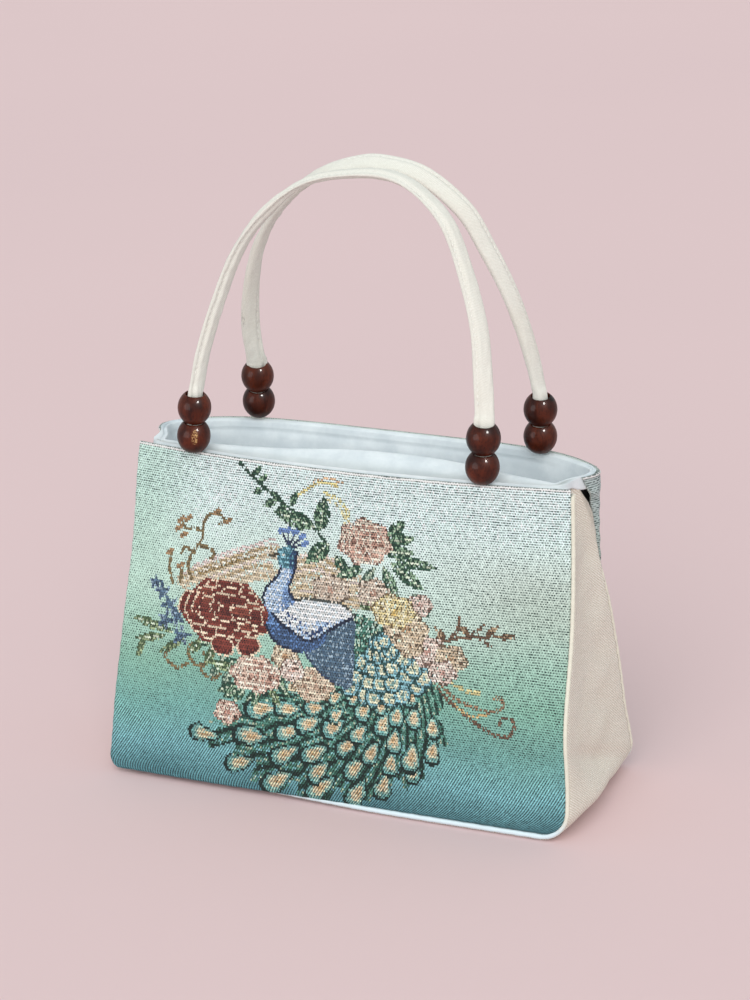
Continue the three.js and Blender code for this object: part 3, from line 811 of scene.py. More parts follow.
    def blossom(self, x, z, radius, count, palette, squash, turn):
        """A round flower: layered arcs of petals, lighter along their edges, with a ragged outline."""
        petal, pale, dark, core = palette
        off_x = (self.x - x) / radius
        off_z = (self.z - z) / (radius * squash)
        angle = np.arctan2(off_z, off_x) + turn
        away = np.hypot(off_x, off_z)
        rim = 0.93 + 0.07 * np.cos(count * angle) + 0.05 * (self.chance - 0.5)
        inside = away < rim
        layers = max(radius / 3.4, 1.6)
        level = np.mod(away * layers + 0.42 * np.cos(count * angle + 2.6 * away), 1)
        self.fill(inside, petal, 0.96)
        self.fill(inside & (level < 0.34), pale, 0.85)
        self.fill(inside & (level > 0.8), dark, 0.68)
        self.fill(inside & (away > rim - 0.9 / radius), dark, 0.5)
        self.fill(inside & (self.chance > 0.86), pale)
        self.fill(away < 0.2, core, 0.75)

    def eye(self, x, z, angle, length, width):
        """A feather's eye: nested uneven drops, pointed towards the bird."""
        along, across = self.local(x, z, angle)
        uneven = 1 + 0.13 * ripples(self.x, self.z, 7, seed=31)
        for size, colour, cover in EYE_RINGS:
            share = np.clip(along / (length * size) + 0.56 - 0.06 * size, 0, 1)
            half = uneven * width * size * 0.62 * share**0.75 * np.sqrt(np.clip(1 - share**3.2, 0, 1))
            self.fill((share > 0) & (share < 1) & (np.abs(across) < half), colour, cover)


def ground_colour(x, z):
    """The cloth's ground: pale mint at the rim, green below, steel teal at the foot."""
    share = (z - PANEL_FOOT) / PANEL_HEIGHT
    share = share + 0.02 * ripples(x, 0.4 * z, 60, seed=5)
    places = [place for place, _ in GROUND_STOPS]
    stops = np.array([srgb(*colour) for _, colour in GROUND_STOPS])
    colour = beside(*(np.interp(share, places, channel) for channel in stops.T))
    greyer = ease(x, 30, 90) * bell(z, 112, 24)
    colour = colour * (1 - greyer[..., None] * np.array([0.13, 0.17, 0.2]))
    greener = ease(-x / np.maximum(rounded_half(z), 1), 0.55, 1.0) * ease(share, 0.25, 0.75) * 0.5
    return lerp(colour, srgb(174, 220, 196), greener[..., None])


def back_threads(x, z):
    """Thread colours of the plain back panel, darker where it turns round the sides: painted shade on the
    turned part.
    """
    turned = ease(np.abs(x) - rounded_half(z), -2.5, -0.5)
    # Painted shade on the part turned round the side
    return ground_colour(x, z) * lerp(1.0, 0.66, turned)[..., None]


def paint_clouds(art):
    """Striped beige bands behind the bird's neck and the flowers."""
    bands = (
        (((-84, 100), (-73, 106), (-57, 113), (-44, 118), (-34, 120)), 8, 5),
        (((-72, 97), (-58, 104), (-46, 109), (-38, 109)), 11, 8),
        (((-24, 114), (-14, 117), (-4, 114), (6, 110)), 10, 9),
        (((-24, 106), (-12, 108), (2, 104), (16, 104)), 13, 10),
        (((-22, 99), (0, 100), (20, 101)), 8, 6),
    )
    stripes = (
        (0.42, 1.3, (228, 214, 206)),
        (0.2, 1.2, (172, 152, 116)),
        (0.02, 1.4, (230, 224, 208)),
        (-0.18, 1.2, (186, 166, 132)),
        (-0.36, 1.3, (222, 210, 186)),
    )
    for points, width, end in bands:
        art.stroke(points, width, (208, 194, 168), 0.82, end)
        for offset, thickness, colour in stripes:
            art.stroke([(x, z + offset * width) for x, z in points], thickness, colour, 0.72)
    art.stroke(((-78, 108), (-62, 116), (-46, 122), (-36, 126)), 1.3, (226, 208, 204), 0.8)
    art.stroke(((-76, 104), (-60, 111), (-46, 116)), 1.5, (136, 116, 74), 0.6)


def paint_tendrils(art):
    """Curling stems with buds at the left, twigs and scrolls at the right."""
    brown = (112, 86, 68)
    for points in (
        ((-80, 101), (-82, 108), (-79, 115), (-75, 122), (-75, 129)),
        ((-75, 128), (-72, 133), (-66, 134), (-64, 131), (-66, 129)),
        ((-75, 124), (-79, 126), (-83, 125), (-86, 127)),
        ((-79, 114), (-84, 116), (-86, 113)),
        ((-77, 118), (-71, 117), (-68, 115), (-70, 112)),
        ((-90, 98), (-92, 105), (-91, 112)),
        ((-86, 99), (-85, 106)),
        ((-74, 72), (-80, 67), (-76, 60), (-69, 62), (-71, 66)),
        ((-66, 66), (-72, 58), (-66, 54), (-62, 57)),
        ((-88, 68), (-92, 62), (-86, 57), (-80, 60)),
    ):
        art.stroke(points, 1.7, (124, 108, 76), 0.88)
    buds = ((-87, 129), (-83, 130), (-88, 125), (-85, 122), (-68, 135), (-62, 131), (-92, 113), (-86, 107))
    for x, z in buds:
        art.stroke(((x - 1.2, z - 0.8), (x + 1.2, z + 0.9)), 2.2, (160, 130, 96))
    for points in (
        ((36, 82), (48, 86), (60, 90), (72, 92), (86, 94)),
        ((56, 89), (60, 95), (60, 100)),
        ((64, 91), (70, 95), (73, 98)),
        ((70, 92), (77, 88)),
        ((48, 86), (52, 91)),
    ):
        art.stroke(points, 2.1, brown, 0.84, 1.4)
    for width, colour, points in (
        (1.9, brown, ((46, 70), (55, 62), (64, 56), (75, 50), (85, 47), (90, 50), (90, 55),
                      (85, 56), (83, 53))),
        (1.7, (148, 118, 92), ((52, 68), (60, 62), (70, 59), (79, 58), (84, 61), (83, 65), (79, 64))),
        (1.5, (222, 190, 134), ((60, 59), (68, 55), (76, 56))),
        (1.8, (218, 206, 150), ((58, 69), (66, 66), (72, 66))),
        (1.7, (230, 214, 150), ((-25, 148), (-19, 153), (-12, 155), (-5, 154))),
        (1.9, (232, 222, 160), ((-12, 150), (-5, 148), (0, 143), (1, 139))),
        (1.2, (228, 222, 176), ((-10, 147), (-5, 145), (-1, 140), (-1, 136))),
        (1.2, (226, 188, 150), ((-18, 155.5), (-10, 157), (-3, 156))),
    ):
        art.stroke(points, width, colour, 0.74)


def paint_leaves(art):
    """Dark-green sprig over the head, leaves round the flowers and grey-green fillers."""
    sprig = ((-57, 160), (-47, 152), (-38, 146), (-29, 141), (-18, 135), (-9, 126))
    art.stroke(sprig, 1.7, (40, 74, 58), 0.9)
    art.leaves("deep", (
        (-50, 154, -45, 160, 3.0), (-47, 151, -42, 156, 3.2), (-44, 149, -49, 146, 3.2),
        (-41, 148, -34, 145, 3.4), (-36, 144, -44, 141, 4.0), (-31, 142, -37, 138, 3.4),
        (-29, 142, -26, 150, 3.6), (-16, 134, -38, 139, 8.6), (-13, 132, -12, 149, 8.2),
        (-8, 127, -20, 116, 8.4), (-5, 121, 2, 114, 5.4), (22, 133, 30, 142, 6.5),
        (22, 131, 36, 134, 6.0), (20, 126, 36, 127, 6.5), (26, 123, 48, 121, 5.5),
        (24, 121, 42, 110, 7.0), (20, 119, 29, 103, 6.0), (10, 117, -4, 111, 5.5),
    ))
    art.leaves("grey", (
        (16, 118, 8, 106, 5.0), (36, 108, 45, 98, 5.0), (34, 96, 44, 90, 4.5), (-3, 108, -16, 104, 4.5),
    ))
    art.leaves("moss", (
        (18, 103, 8, 97, 5.0), (-88, 74, -112, 79, 5.0), (-92, 72, -110, 68, 4.2),
        (-104, 70, -108, 58, 3.6), (-82, 72, -96, 63, 4.0), (-72, 72, -80, 65, 5.0),
        (-66, 70, -70, 60, 5.0),
    ))
    art.leaves("grey", (
        (-60, 66, -68, 54, 5.5), (-56, 62, -60, 48, 5.5), (-32, 66, -25, 70, 5.0), (-30, 62, -24, 56, 5.0),
    ))
    art.leaves("deep", ((-50, 52, -60, 46, 4.5), (-44, 52, -34, 46, 4.5), (-40, 53, -48, 45, 4.5)))
    art.leaves("brown", (
        (66, 92, 60, 96, 3.2), (74, 93, 80, 98, 3.2), (80, 93, 90, 94, 3.0), (54, 88, 48, 94, 3.4),
    ))


def tail_reach(turn):
    """Length of the tail along a share of the fan, from the left edge to the right."""
    return curve_through((0, 0.3, 0.6, 0.85, 1), (103, 92, 80, 72, 64), turn)


def paint_tail(art):
    """The fanned tail: swept dark strands, rings of feather eyes, and scales near the root."""
    root_x, root_z = TAIL_ROOT
    off_x = art.x - root_x
    off_z = art.z - root_z
    angle = np.mod(np.arctan2(off_z, off_x), TURN)
    away = np.hypot(off_x, off_z)
    turn = (angle - TAIL_LEFT) / (TAIL_RIGHT - TAIL_LEFT)
    edge = tail_reach(np.clip(turn, 0, 1)) * (0.95 + 0.06 * np.cos(angle * 46))
    fan = (turn > -0.05) & (turn < 1.06) & (away < edge)
    fan |= art.area(((6, 93), (20, 91), (34, 83), (46, 71), (54, 56), (30, 40), (6, 52)))
    swept = angle + FEATHER_SWEEP * np.log(np.maximum(away, 4) / 10)
    strand = np.sin(66 * swept + 1.1 * ripples(art.x, art.z, 16, seed=32))
    art.fill(fan, (80, 134, 118), 0.66)
    art.fill(fan & (strand > 0.0), (48, 92, 80), 0.76)
    art.fill(fan & (strand > 0.6), (22, 48, 42), 0.8)
    art.fill(fan & (strand < -0.8), (190, 204, 176), 0.3)
    for share, count, offset, longest, width in (
        (0.95, 8, 0.0, 16.0, 9.8),
        (0.81, 7, 0.5, 15.0, 9.6),
        (0.68, 7, 0.0, 14.0, 9.0),
        (0.56, 7, 0.5, 12.5, 8.4),
        (0.45, 6, 0.0, 11.0, 7.6),
        (0.36, 6, 0.5, 9.0, 6.6),
    ):
        for number in range(count):
            place = (number + offset) / (count - 0.5) + random.uniform(-0.025, 0.025)
            heading = lerp(TAIL_LEFT, TAIL_RIGHT, place)
            far = tail_reach(place) * (share + random.uniform(-0.035, 0.035))
            x = root_x + far * math.cos(heading)
            z = max(root_z + far * math.sin(heading), 9.5)
            size = random.uniform(0.84, 1.12)
            swept = heading - FEATHER_SWEEP + random.uniform(-0.2, 0.2)
            art.eye(x, z, swept, size * longest * lerp(1.0, 0.72, place), size * width)
    scale_rows = ((0.35, 7, 8.6), (0.27, 6, 8.4), (0.19, 5, 7.8), (0.11, 4, 7.2), (0.04, 3, 6.6))
    for share, count, size in scale_rows:
        for number in range(count):
            place = (number + 0.5 * random.random()) / (count - 0.5)
            heading = lerp(TAIL_LEFT + 0.4, TAIL_RIGHT + 0.3, place)
            far = 82 * share
            x = root_x + far * math.cos(heading) + 6
            z = root_z + far * math.sin(heading)
            along, across = art.local(x, z, heading - 0.3)
            gone = np.hypot(along / (0.6 * size), across / (0.52 * size))
            art.fill(gone < 1.12, (34, 70, 70), 0.88)
            art.fill(gone < 0.92, (132, 182, 192), 0.9)
            art.fill((gone < 0.7) & (along > -0.2 * size), (224, 224, 192), 0.8)
            art.fill((gone < 0.34) & (along > 0), (126, 164, 158), 0.65)


def paint_bird(art):
    """Crest, head, neck, pale wing and blue body of the bird, looking left."""
    outline = (26, 38, 62)
    navy = (62, 86, 120)
    quill = (58, 84, 128)
    for x, z in ((-33, 130), (-29.8, 130.4), (-26, 130), (-22, 128.4), (-20.4, 125)):
        art.stroke(((-29, 122), (x, z)), 1.0, (44, 56, 84))
        art.stroke(((x - 0.9, z - 0.3), (x + 0.9, z + 0.6)), 2.6, (112, 144, 198))
    wedge = art.area(((-21, 78.5), (-15, 69.5), (-8, 64), (0, 60), (7.4, 60.6), (8, 77), (6.8, 92),
                      (-4, 88), (-15, 80)))
    art.fill(wedge, (84, 110, 130))
    art.stripes(wedge, 0.8, 3.4, 0.3, (70, 96, 120), 0.75)
    art.fill(wedge & (art.chance > 0.8), (142, 162, 176))
    art.stroke(((-21, 77), (-14, 69), (-7, 63.5), (1, 60)), 1.2, (48, 62, 88), 0.7)
    body = art.area(((-40, 95), (-38, 89), (-38.6, 83), (-36, 78.6), (-30, 75), (-21, 73), (-12, 76),
                     (-7, 83), (-16, 83), (-27, 86), (-34, 91)))
    art.fill(body, navy)
    art.stripes(body, -1.2, 3.0, 0.35, (92, 128, 180), 0.6)
    art.fill(body & (art.z > 85), (108, 144, 192), 0.5)
    art.stroke(((-38.6, 84), (-36, 78.6), (-30, 75), (-21, 73)), 1.2, outline, 0.8)
    wing = art.area(((-36, 91), (-33, 95), (-24, 98), (-8, 99), (0, 98), (6.6, 93), (-3, 87.4),
                     (-10.4, 82), (-16.6, 79.2), (-24, 81.6), (-31.6, 86)))
    art.fill(wing, (238, 242, 242))
    art.stripes(wing, 1.7, 5.6, 0.62, (204, 218, 226), 0.7)
    art.fill(wing & (art.z < 88 + 0.2 * (art.x + 16)) & (art.chance > 0.5), (164, 190, 220))
    hem = np.array(((-36, 90.4), (-31.6, 86), (-26.9, 83.3), (-21.2, 80.7), (-16.6, 79.2), (-10.4, 82.1),
                    (-3.5, 87.1), (6, 92.6)))
    art.stroke(hem, 1.7, outline, 0.9)
    art.stroke(hem[1:6] + (1.2, 2.8), 1.3, (46, 66, 104), 0.55)
    art.stroke(hem[1:4] + (2.4, 5.4), 1.2, quill, 0.5)
    art.stroke(hem[4:7] + (-0.6, 3.4), 1.2, quill, 0.4)
    art.stroke(((-24, 98.2), (-10, 99.6), (0, 98.6), (7, 94)), 1.2, (64, 70, 66), 0.8)
    neck = art.area(((-32.3, 114), (-34.8, 107.4), (-38.8, 102.6), (-41, 97.4), (-40, 92.6), (-34, 90),
                     (-27, 94), (-24.4, 97.6), (-27.8, 102.3), (-27.1, 106.5), (-25.3, 113.4)))
    art.fill(neck, (160, 188, 220))
    art.stripes(neck, -1, 2.6, -0.3, (218, 230, 240), 0.72)
    art.fill(neck & (art.x > -28.6 - 0.3 * (107 - art.z)), (116, 148, 194), 0.6)
    art.fill(neck & (art.x > -26.8 - 0.1 * (107 - art.z)), navy, 0.5)
    head = art.area(((-30, 123), (-34.4, 120.4), (-35, 117), (-32.6, 112.6), (-25.6, 113), (-24.4, 118.6),
                     (-26.4, 122.4)))
    art.fill(head, (70, 122, 138))
    art.fill(head & (art.chance > 0.6), (126, 176, 190))
    art.fill(head & (art.x > -28), (44, 74, 108), 0.7)
    art.stroke(((-24.6, 121), (-25, 113), (-27, 106.5), (-27.6, 102), (-24, 97.4)), 1.3, outline, 0.95)
    breast = ((-32.4, 112.4), (-35, 107.2), (-39.4, 102.4), (-41.4, 97.4), (-40.4, 94))
    art.stroke(breast, 1.3, outline, 0.9)
    art.stroke(((-34.6, 118.4), (-38.4, 117.4)), 1.6, (70, 66, 54))
    art.stroke(((-32.2, 119), (-31, 119)), 1.2, (238, 238, 228))


def paint_flowers(art):
    """The dark peony and the paler flowers round the bird, with leaves under them."""
    art.leaves("deep", ((-52, 66, -66, 58, 5.6),))
    art.leaves("moss", ((-54, 60, -69, 63, 5.0),))
    art.leaves("deep", ((-52, 54, -63, 49, 5.0), (-48, 52, -54, 44, 4.6), (-41, 52, -44, 43, 4.6)))
    art.leaves("moss", ((-35, 54, -30, 45, 4.6),))
    art.leaves("deep", ((-33, 66, -26, 58, 6.0), (-32, 60, -25, 50, 5.0), (-60, 74, -74, 70, 5.4)))
    full_hearts = {
        (-13, 58.5): (9.5, 0.78, TAN_EDGE, TAN_PETALS, 5),
        (-43, 59.5): (11.5, 0.66, PINK_EDGE, PINK_PETALS, 5),
        (10, 129.5): (11, 0.78, PINK_EDGE, PINK_PETALS, 5),
    }
    for x, z, radius, count, palette, squash, turn in (
        (-6, 105, 11, 6, DUSTY, 0.7, 0.4),
        (16, 106, 9, 5, DUSTY, 0.8, 1.1),
        (40, 103, 7, 5, BLUSH, 0.8, 0.0),
        (45, 82, 10, 5, BLUSH, 0.8, 0.6),
        (57, 80, 9, 5, TAN, 0.8, 0.2),
        (36, 84, 8, 5, TAN, 0.8, 0.5),
        (53, 73, 8, 5, BLUSH, 0.75, 1.3),
        (34, 91, 12, 6, TAN, 0.8, 0.9),
        (27, 98.5, 12, 6, YELLOW, 0.72, 0.2),
        (-28, 70, 8, 5, TAN, 0.8, 0.3),
        (-13, 58.5, 11.5, 6, TAN, 0.78, 0.8),
        (-24, 64, 7, 5, BLUSH, 0.85, 0.3),
        (-43, 59.5, 14.5, 7, PINK, 0.66, 0.5),
        (-57, 39.5, 7.5, 5, PINK, 0.85, 0.2),
        (10, 129.5, 14.6, 7, PINK, 0.8, 0.1),
    ):
        art.blossom(x, z, radius, count, palette, squash, turn)
        if (x, z) in full_hearts:
            art.peony(x, z, *full_hearts[x, z])
    for x, z, radius in (
        (-95, 93, 3.4), (-91, 87, 4.2), (-87, 81, 4.0), (-93, 79, 3.6), (-84, 73, 4.6), (-99, 97, 2.8),
    ):
        for petal in range(5):
            heading = TURN * petal / 5 + x
            tip = (x + radius * math.cos(heading), z + radius * math.sin(heading))
            art.stroke(((x, z), tip), 3.0, BLUES[petal % 2], 0.85, 1.8)
            art.stroke(((x, z), tip), 0.8, BLUE_SHADE, 0.7)
    art.peony(-61, 87, 25.5, 0.64, PEONY_EDGE, PEONY_REDS)
    for x, z, angle in ((-61.5, 71, 4.5), (-47.5, 72.5, 5.0)):
        along, across = art.local(x, z, angle)
        gone = np.hypot(along / 5.0, across / 6.8)
        art.fill(gone < 1, PEONY_EDGE, 0.85)
        art.fill(gone < 0.82, PEONY_REDS[0])
        art.fill((gone < 0.82) & (along > 1), PEONY_REDS[3], 0.6)


def front_threads(x, z):
    """Thread colours of the picture panel. The picture is laid out on a flat sheet between the
    panel's corners, seen from the front right, so it moves where the cloth bows ahead of that."""
    share = np.clip(x / half_width(z), -1, 1)
    height = (z - PANEL_FOOT) / PANEL_HEIGHT
    foot, rim = (
        lerp(front_depth(-1, level), front_depth(1, level), (share + 1) / 2)
        for level in (PANEL_FOOT, RIM_HEIGHT)
    )
    ahead = front_depth(share, z) - lerp(foot, rim, height)
    art = Picture(x + VIEW_SHIFT_ACROSS * ahead, z + VIEW_SHIFT_UP * ahead)
    for paint in (paint_clouds, paint_tendrils, paint_leaves, paint_tail, paint_flowers, paint_bird):
        paint(art)
    return art.woven()


# Panels

THREAD_ROWS = 140
FRONT_CELLS = 170
BACK_CELLS = 88
THREAD_RELIEF = 0.11
RIM_STITCH_DROP = 1.7
PLAIN_TIE = 0.3
TWILL_GAIN = 0.54


def panel_relief(base, row, half_cell):
    """Height of the cloth over its smooth form: thread ribs, slack, seam puckers and turned edges."""
    x, z = base[..., 0], base[..., 2]
    side = np.minimum(x - x[:, :1], x[:, -1:] - x)
    foot = z - z[:1]
    top = RIM_HEIGHT - z
    crest = np.where(row % 2 == 1, 1.0, -0.9)
    tied = ((half_cell + row // 2) % 2 == 0) & (row % 2 == 1)
    calm = ease(np.minimum(side, np.minimum(foot, top)), 2, 30)
    slack = 0.55 * ripples(x, 1.4 * z, 62, seed=7) + 0.22 * ripples(x, z, 21, seed=8)
    pucker = np.sin(TURN * z / 8.6 + 1.3 * np.sin(z / 17)) * np.exp(-np.maximum(side, 0) / 5)
    tuck = np.sin(TURN * x / 9.4 + 1.5 * np.sin(x / 21)) * np.exp(-np.maximum(foot, 0) / 4)
    sewn = 0.3 * bell(top, RIM_STITCH_DROP, 0.6)
    rolled = rounded_off(side, 0.6) + rounded_off(foot, 1.0) + rounded_off(top, 0.8)
    relief = THREAD_RELIEF * (crest - 0.75 * tied) + calm * slack
    return relief + 0.16 * pucker + 0.14 * tuck - sewn - rolled


def tie_size(x, z):
    """How long the dark ties between cells are: dashes near the rim, dots below."""
    share = (z - PANEL_FOOT) / PANEL_HEIGHT
    dashes = 0.2 * ease(share, 0.72, 0.98)
    nearer = 0.05 * ease(x, -60, 70) + 0.12 * ease(x, 20, 80) * bell(z, 84, 42)
    return 0.27 + dashes + nearer + 0.03 * ripples(x, z, 40, seed=9)


def paint_faces(piece, colours, ties, slants):
    """Writes each face's thread colour, tie length and slant; the cloth's back and edges stay plain."""
    count = len(piece.data.polygons)
    values = np.tile([*srgb(214, 226, 220), 1.0], (count, 1))
    values[: ties.size, :3] = np.clip(colours, 0, 1).reshape(-1, 3)
    attribute = piece.data.attributes.new("thread", "FLOAT_COLOR", "FACE")
    attribute.data.foreach_set("color", values.astype(np.float32).ravel())
    for name, plain, woven in (("tie", PLAIN_TIE, ties), ("slant", 0.0, slants)):
        values = np.full(count, plain)
        values[: woven.size] = woven.ravel()
        attribute = piece.data.attributes.new(name, "FLOAT", "FACE")
        attribute.data.foreach_set("value", values.astype(np.float32))


def thread_looks(x, z, threads):
    """Colour, tie length and slant of each half cell of thread, uneven as woven cloth is."""
    colours = threads(x, z)
    uneven = 0.08 + 0.05 * ease(SLANT_TOP + 12 - z, 0, 24)
    colours = colours * (1 + uneven * random.standard_normal(x.shape))[..., None]
    # Whiter along the top of the rim: the cloth's whitish turned edge, partly painted highlight on the fold
    whitish_rim_and_highlight = ease(z, RIM_HEIGHT - 1.6, RIM_HEIGHT - 0.6)[..., None]
    colours = lerp(colours, srgb(246, 242, 240), 0.85 * whitish_rim_and_highlight)
    unsettled = 0.3 * ripples(x, 1.6 * z, 22, seed=10) + 0.1 * random.standard_normal(x.shape)
    slant = np.clip((SLANT_TOP - z) / 16 + 0.5 + unsettled, 0, 1)
    return colours * (1 + TWILL_GAIN * slant)[..., None], tie_size(x, z), slant


def woven_panel(which, face, outward, cells, threads):
    """A panel of picture cloth: its face has two mesh columns to a cell and two rows to a thread,
    its back is plain, and the edges between are closed."""
    columns = 2 * cells + 1
    rows = 2 * THREAD_ROWS + 1
    share, height = np.meshgrid(np.linspace(-1, 1, columns), np.linspace(0, 1, rows))
    row, half_cell = np.indices(share.shape)
    base = face(share, height)
    outer = base + outward * grid_normals(base) * panel_relief(base, row, half_cell)[..., None]
    coarse_share, coarse_height = np.meshgrid(np.linspace(-1, 1, 49), np.linspace(0, 1, 33))
    coarse = face(coarse_share, coarse_height)
    inner = coarse - outward * grid_normals(coarse) * PANEL_THICKNESS
    count = rows * columns
    points = np.concatenate([outer.reshape(-1, 3), inner.reshape(-1, 3)])
    back_quads = grid_faces(*coarse_share.shape, count)[:, ::-1]
    walls = bridge(*border_loop(rows, columns), *border_loop(*coarse_share.shape, count))
    faces = [*grid_faces(rows, columns).tolist(), *back_quads.tolist(), *walls]
    if outward < 0:
        faces = [corners[::-1] for corners in faces]
    flat = np.concatenate([
        beside(half_cell * CELL_PITCH / 2, row * ROW_PITCH / 2).reshape(-1, 2),
        beside(coarse_share, coarse_height).reshape(-1, 2) * PANEL_HEIGHT,
    ])
    name = f"picture_panel_{which}"
    piece = make_piece(name, points, faces, JACQUARD, "jacquard", (f"{which}_panel",), flat)
    crest = base[1::2]
    middle = (crest[:, :-1] + crest[:, 1:]) / 2
    looks = thread_looks(middle[..., 0], middle[..., 2], threads)
    paint_faces(piece, *(np.repeat(values, 2, axis=0) for values in looks))
    return piece


# Gusset and seam edges

GUSSET_THICKNESS = 1.2
GUSSET_FRONT_DROP = 2.45
GUSSET_TOP_DROP = 3.5
GUSSET_BACK_DROP = 14.0
GUSSET_SIDE_STAND = 2.6
GUSSET_EDGE_BEHIND_WELT = 0.9
GUSSET_TURNED_IN = 1.8
TOP_STRETCH = 40.0
RIM_STRETCH = 26.0
WELT_TOP_DROPS = {"front": 2.4, "back": 18.0}
WELT_RADIUS = 1.3
WELT_SIDES = 14
WELT_END = 1.6
WELT_STAND = 1.3
WELT_BEHIND_FACE = 1.0
TUCKED_BACK = 2.2
TUCKED_IN = 2.0
TUCKED_FOOT = 4.0
WRAPPED_WELT_STAND = -0.9
WRAPPED_WELT_AHEAD = 2.0
FULL_WRAP = 3.0


def seam_run(side_stand, foot_stand, side_steps=110, corner_steps=14, foot_steps=130):
    """The seam's run down one side, along the foot and up the other: x, z and the outward x, z."""
    wall_foot = PANEL_FOOT + CORNER_RADIUS
    z = np.linspace(RIM_HEIGHT, wall_foot, side_steps, endpoint=False)
    side = beside(half_width(z) + side_stand, z, 1.0, 0.0)
    centre = half_width(wall_foot) - CORNER_RADIUS
    share = np.linspace(0, 1, corner_steps)
    radius = CORNER_RADIUS + lerp(side_stand, foot_stand, share)
    out_x = np.cos(share * math.pi / 2)
    out_z = -np.sin(share * math.pi / 2)
    corner = beside(centre + radius * out_x, wall_foot + radius * out_z, out_x, out_z)
    right = np.concatenate([side, corner])
    left = right * (-1, 1, -1, 1)
    foot = beside(np.linspace(-centre, centre, foot_steps + 1)[1:-1], PANEL_FOOT - foot_stand, 0.0, -1.0)
    return np.concatenate([left, foot, right[::-1]]).T


def tucked(x):
    """Where the front seam is hidden behind the picture cloth: the left side and the foot's left."""
    return covered(x / FOOT_HALF_WIDTH)


def turned_share(z):
    """How far the back cloth has turned round the sides at a height, from 0 to 1."""
    return np.minimum(section("wrap", z) / FULL_WRAP, 1)


def back_seam(z):
    """Depth of the back seam beside the back cloth's edge at the sides."""
    ahead = lerp(WELT_BEHIND_FACE, WRAPPED_WELT_AHEAD, turned_share(z))
    return section("back", z) - section("wrap", z) - ahead


def seam_depths(x, z):
    """Depth of the front and back seams beside the run."""
    z = np.maximum(z, PANEL_FOOT)
    across = np.clip(x / half_width(z), -1, 1)
    front = front_depth(across, z) + WELT_BEHIND_FACE + TUCKED_BACK * tucked(x)
    return front, back_seam(z) + section("back_bow", z) * (1 - across**2)


def gusset_dip(t, z):
    """How far the gusset is drawn in between its seams, by the share of the way to the back one."""
    near_rim = ease(z, RIM_HEIGHT - RIM_STRETCH, RIM_HEIGHT)
    pinched = section("pinch", z) * 4 * t * (1 - t)
    return pinched + GUSSET_TURNED_IN * turned_share(z) * t + 1.4 * near_rim * ease(t, 0.02, 0.3)


def make_gusset():
    """The canvas strip round the sides and foot, pinched in at the sides, creased near the foot."""
    run_x, run_z, out_x, out_z = seam_run(GUSSET_SIDE_STAND, PANEL_FOOT)
    high = ease(run_z, RIM_HEIGHT - TOP_STRETCH, RIM_HEIGHT)
    shares = np.linspace(0, 1, 45)
    columns = []
    for t in shares:
        top_drop = lerp(GUSSET_FRONT_DROP, GUSSET_TOP_DROP, ease(t, 0, 0.35))
        z = run_z - lerp(top_drop, GUSSET_BACK_DROP, ease(t, 0.86, 1.0)) * high
        x = run_x + out_x * (half_width(z) - half_width(run_z))
        front, back = seam_depths(x, z)
        front = front + GUSSET_EDGE_BEHIND_WELT + TUCKED_FOOT * tucked(run_x) * np.abs(out_z)
        back = back - GUSSET_EDGE_BEHIND_WELT + GUSSET_TURNED_IN * turned_share(z)
        y = lerp(front, back, t)
        fold = z - lerp(44, 8, t)
        crease = 2.0 * bell(fold, 0, 5) - 4.2 * ease(-fold, 0, 22) * ease(z, 2, 14)
        slack = 0.5 * ripples(y, 1.2 * z, 34, seed=12) + 0.12 * ripples(y, z, 15, seed=13)
        from_seam = min(t, 1 - t)
        pucker = 0.15 * np.sin(TURN * z / 8.2 + run_x) * math.exp(-14 * from_seam)
        sewn = pucker + 0.95 * math.exp(-18 * from_seam)
        slack_in = 4 * t * (1 - t) * (crease - slack * (1 - high))
        dip = gusset_dip(t, z) + np.abs(out_x) * (slack_in + sewn)
        columns.append(beside(x - out_x * dip, y, z - out_z * dip))
    outer = np.stack(columns, 1)
    inner = outer - beside(out_x, 0, out_z)[:, None] * GUSSET_THICKNESS
    points, faces = shell(outer, inner)
    along = run_lengths(beside(run_x, run_z))[:, None]
    flat = np.tile(beside(along, outer[..., 1]).reshape(-1, 2), (2, 1))
    faces = [corners[::-1] for corners in faces]
    return make_piece("canvas_gusset", points, faces, CANVAS, "canvas", ("gusset",), flat)


def make_welt(which):
    """One rolled white seam edge, slightly uneven along its length, with rounded ends."""
    x, z, out_x, out_z = seam_run(WELT_STAND, WELT_STAND, 130, 18, 180)
    z = z - WELT_TOP_DROPS[which] * ease(z, RIM_HEIGHT - TOP_STRETCH, RIM_HEIGHT)
    side = np.abs(out_x)
    front, back = seam_depths(x, z)
    if which == "front":
        depth = front
        drawn_in = TUCKED_IN * tucked(x) + 0.35 * side
        size = WELT_RADIUS
    else:
        turned = turned_share(z)
        depth = back
        drawn_in = (WELT_STAND - WRAPPED_WELT_STAND) * turned
        size = WELT_RADIUS * (1 - 0.75 * turned)
    middle = beside(x - out_x * drawn_in, depth, z - out_z * drawn_in)
    _, forward, outward = path_directions(middle)
    lengths = run_lengths(middle)
    uneven = 1 + 0.05 * np.sin(TURN * lengths / 7.7) + 0.04 * np.sin(TURN * lengths / 3.1)
    from_end = np.minimum(lengths, lengths[-1] - lengths)
    rounded = np.sqrt(1 - np.clip(1 - from_end / WELT_END, 0, 0.98) ** 2)
    rings = circles(middle, forward, outward, size * uneven * rounded * (1 - 0.24 * side), WELT_SIDES)
    name = f"{which}_seam_edge"
    return tube(rings, name, WELT_CLOTH, "canvas", (f"{which}_welt",), lengths, TURN * WELT_RADIUS)


# Lining

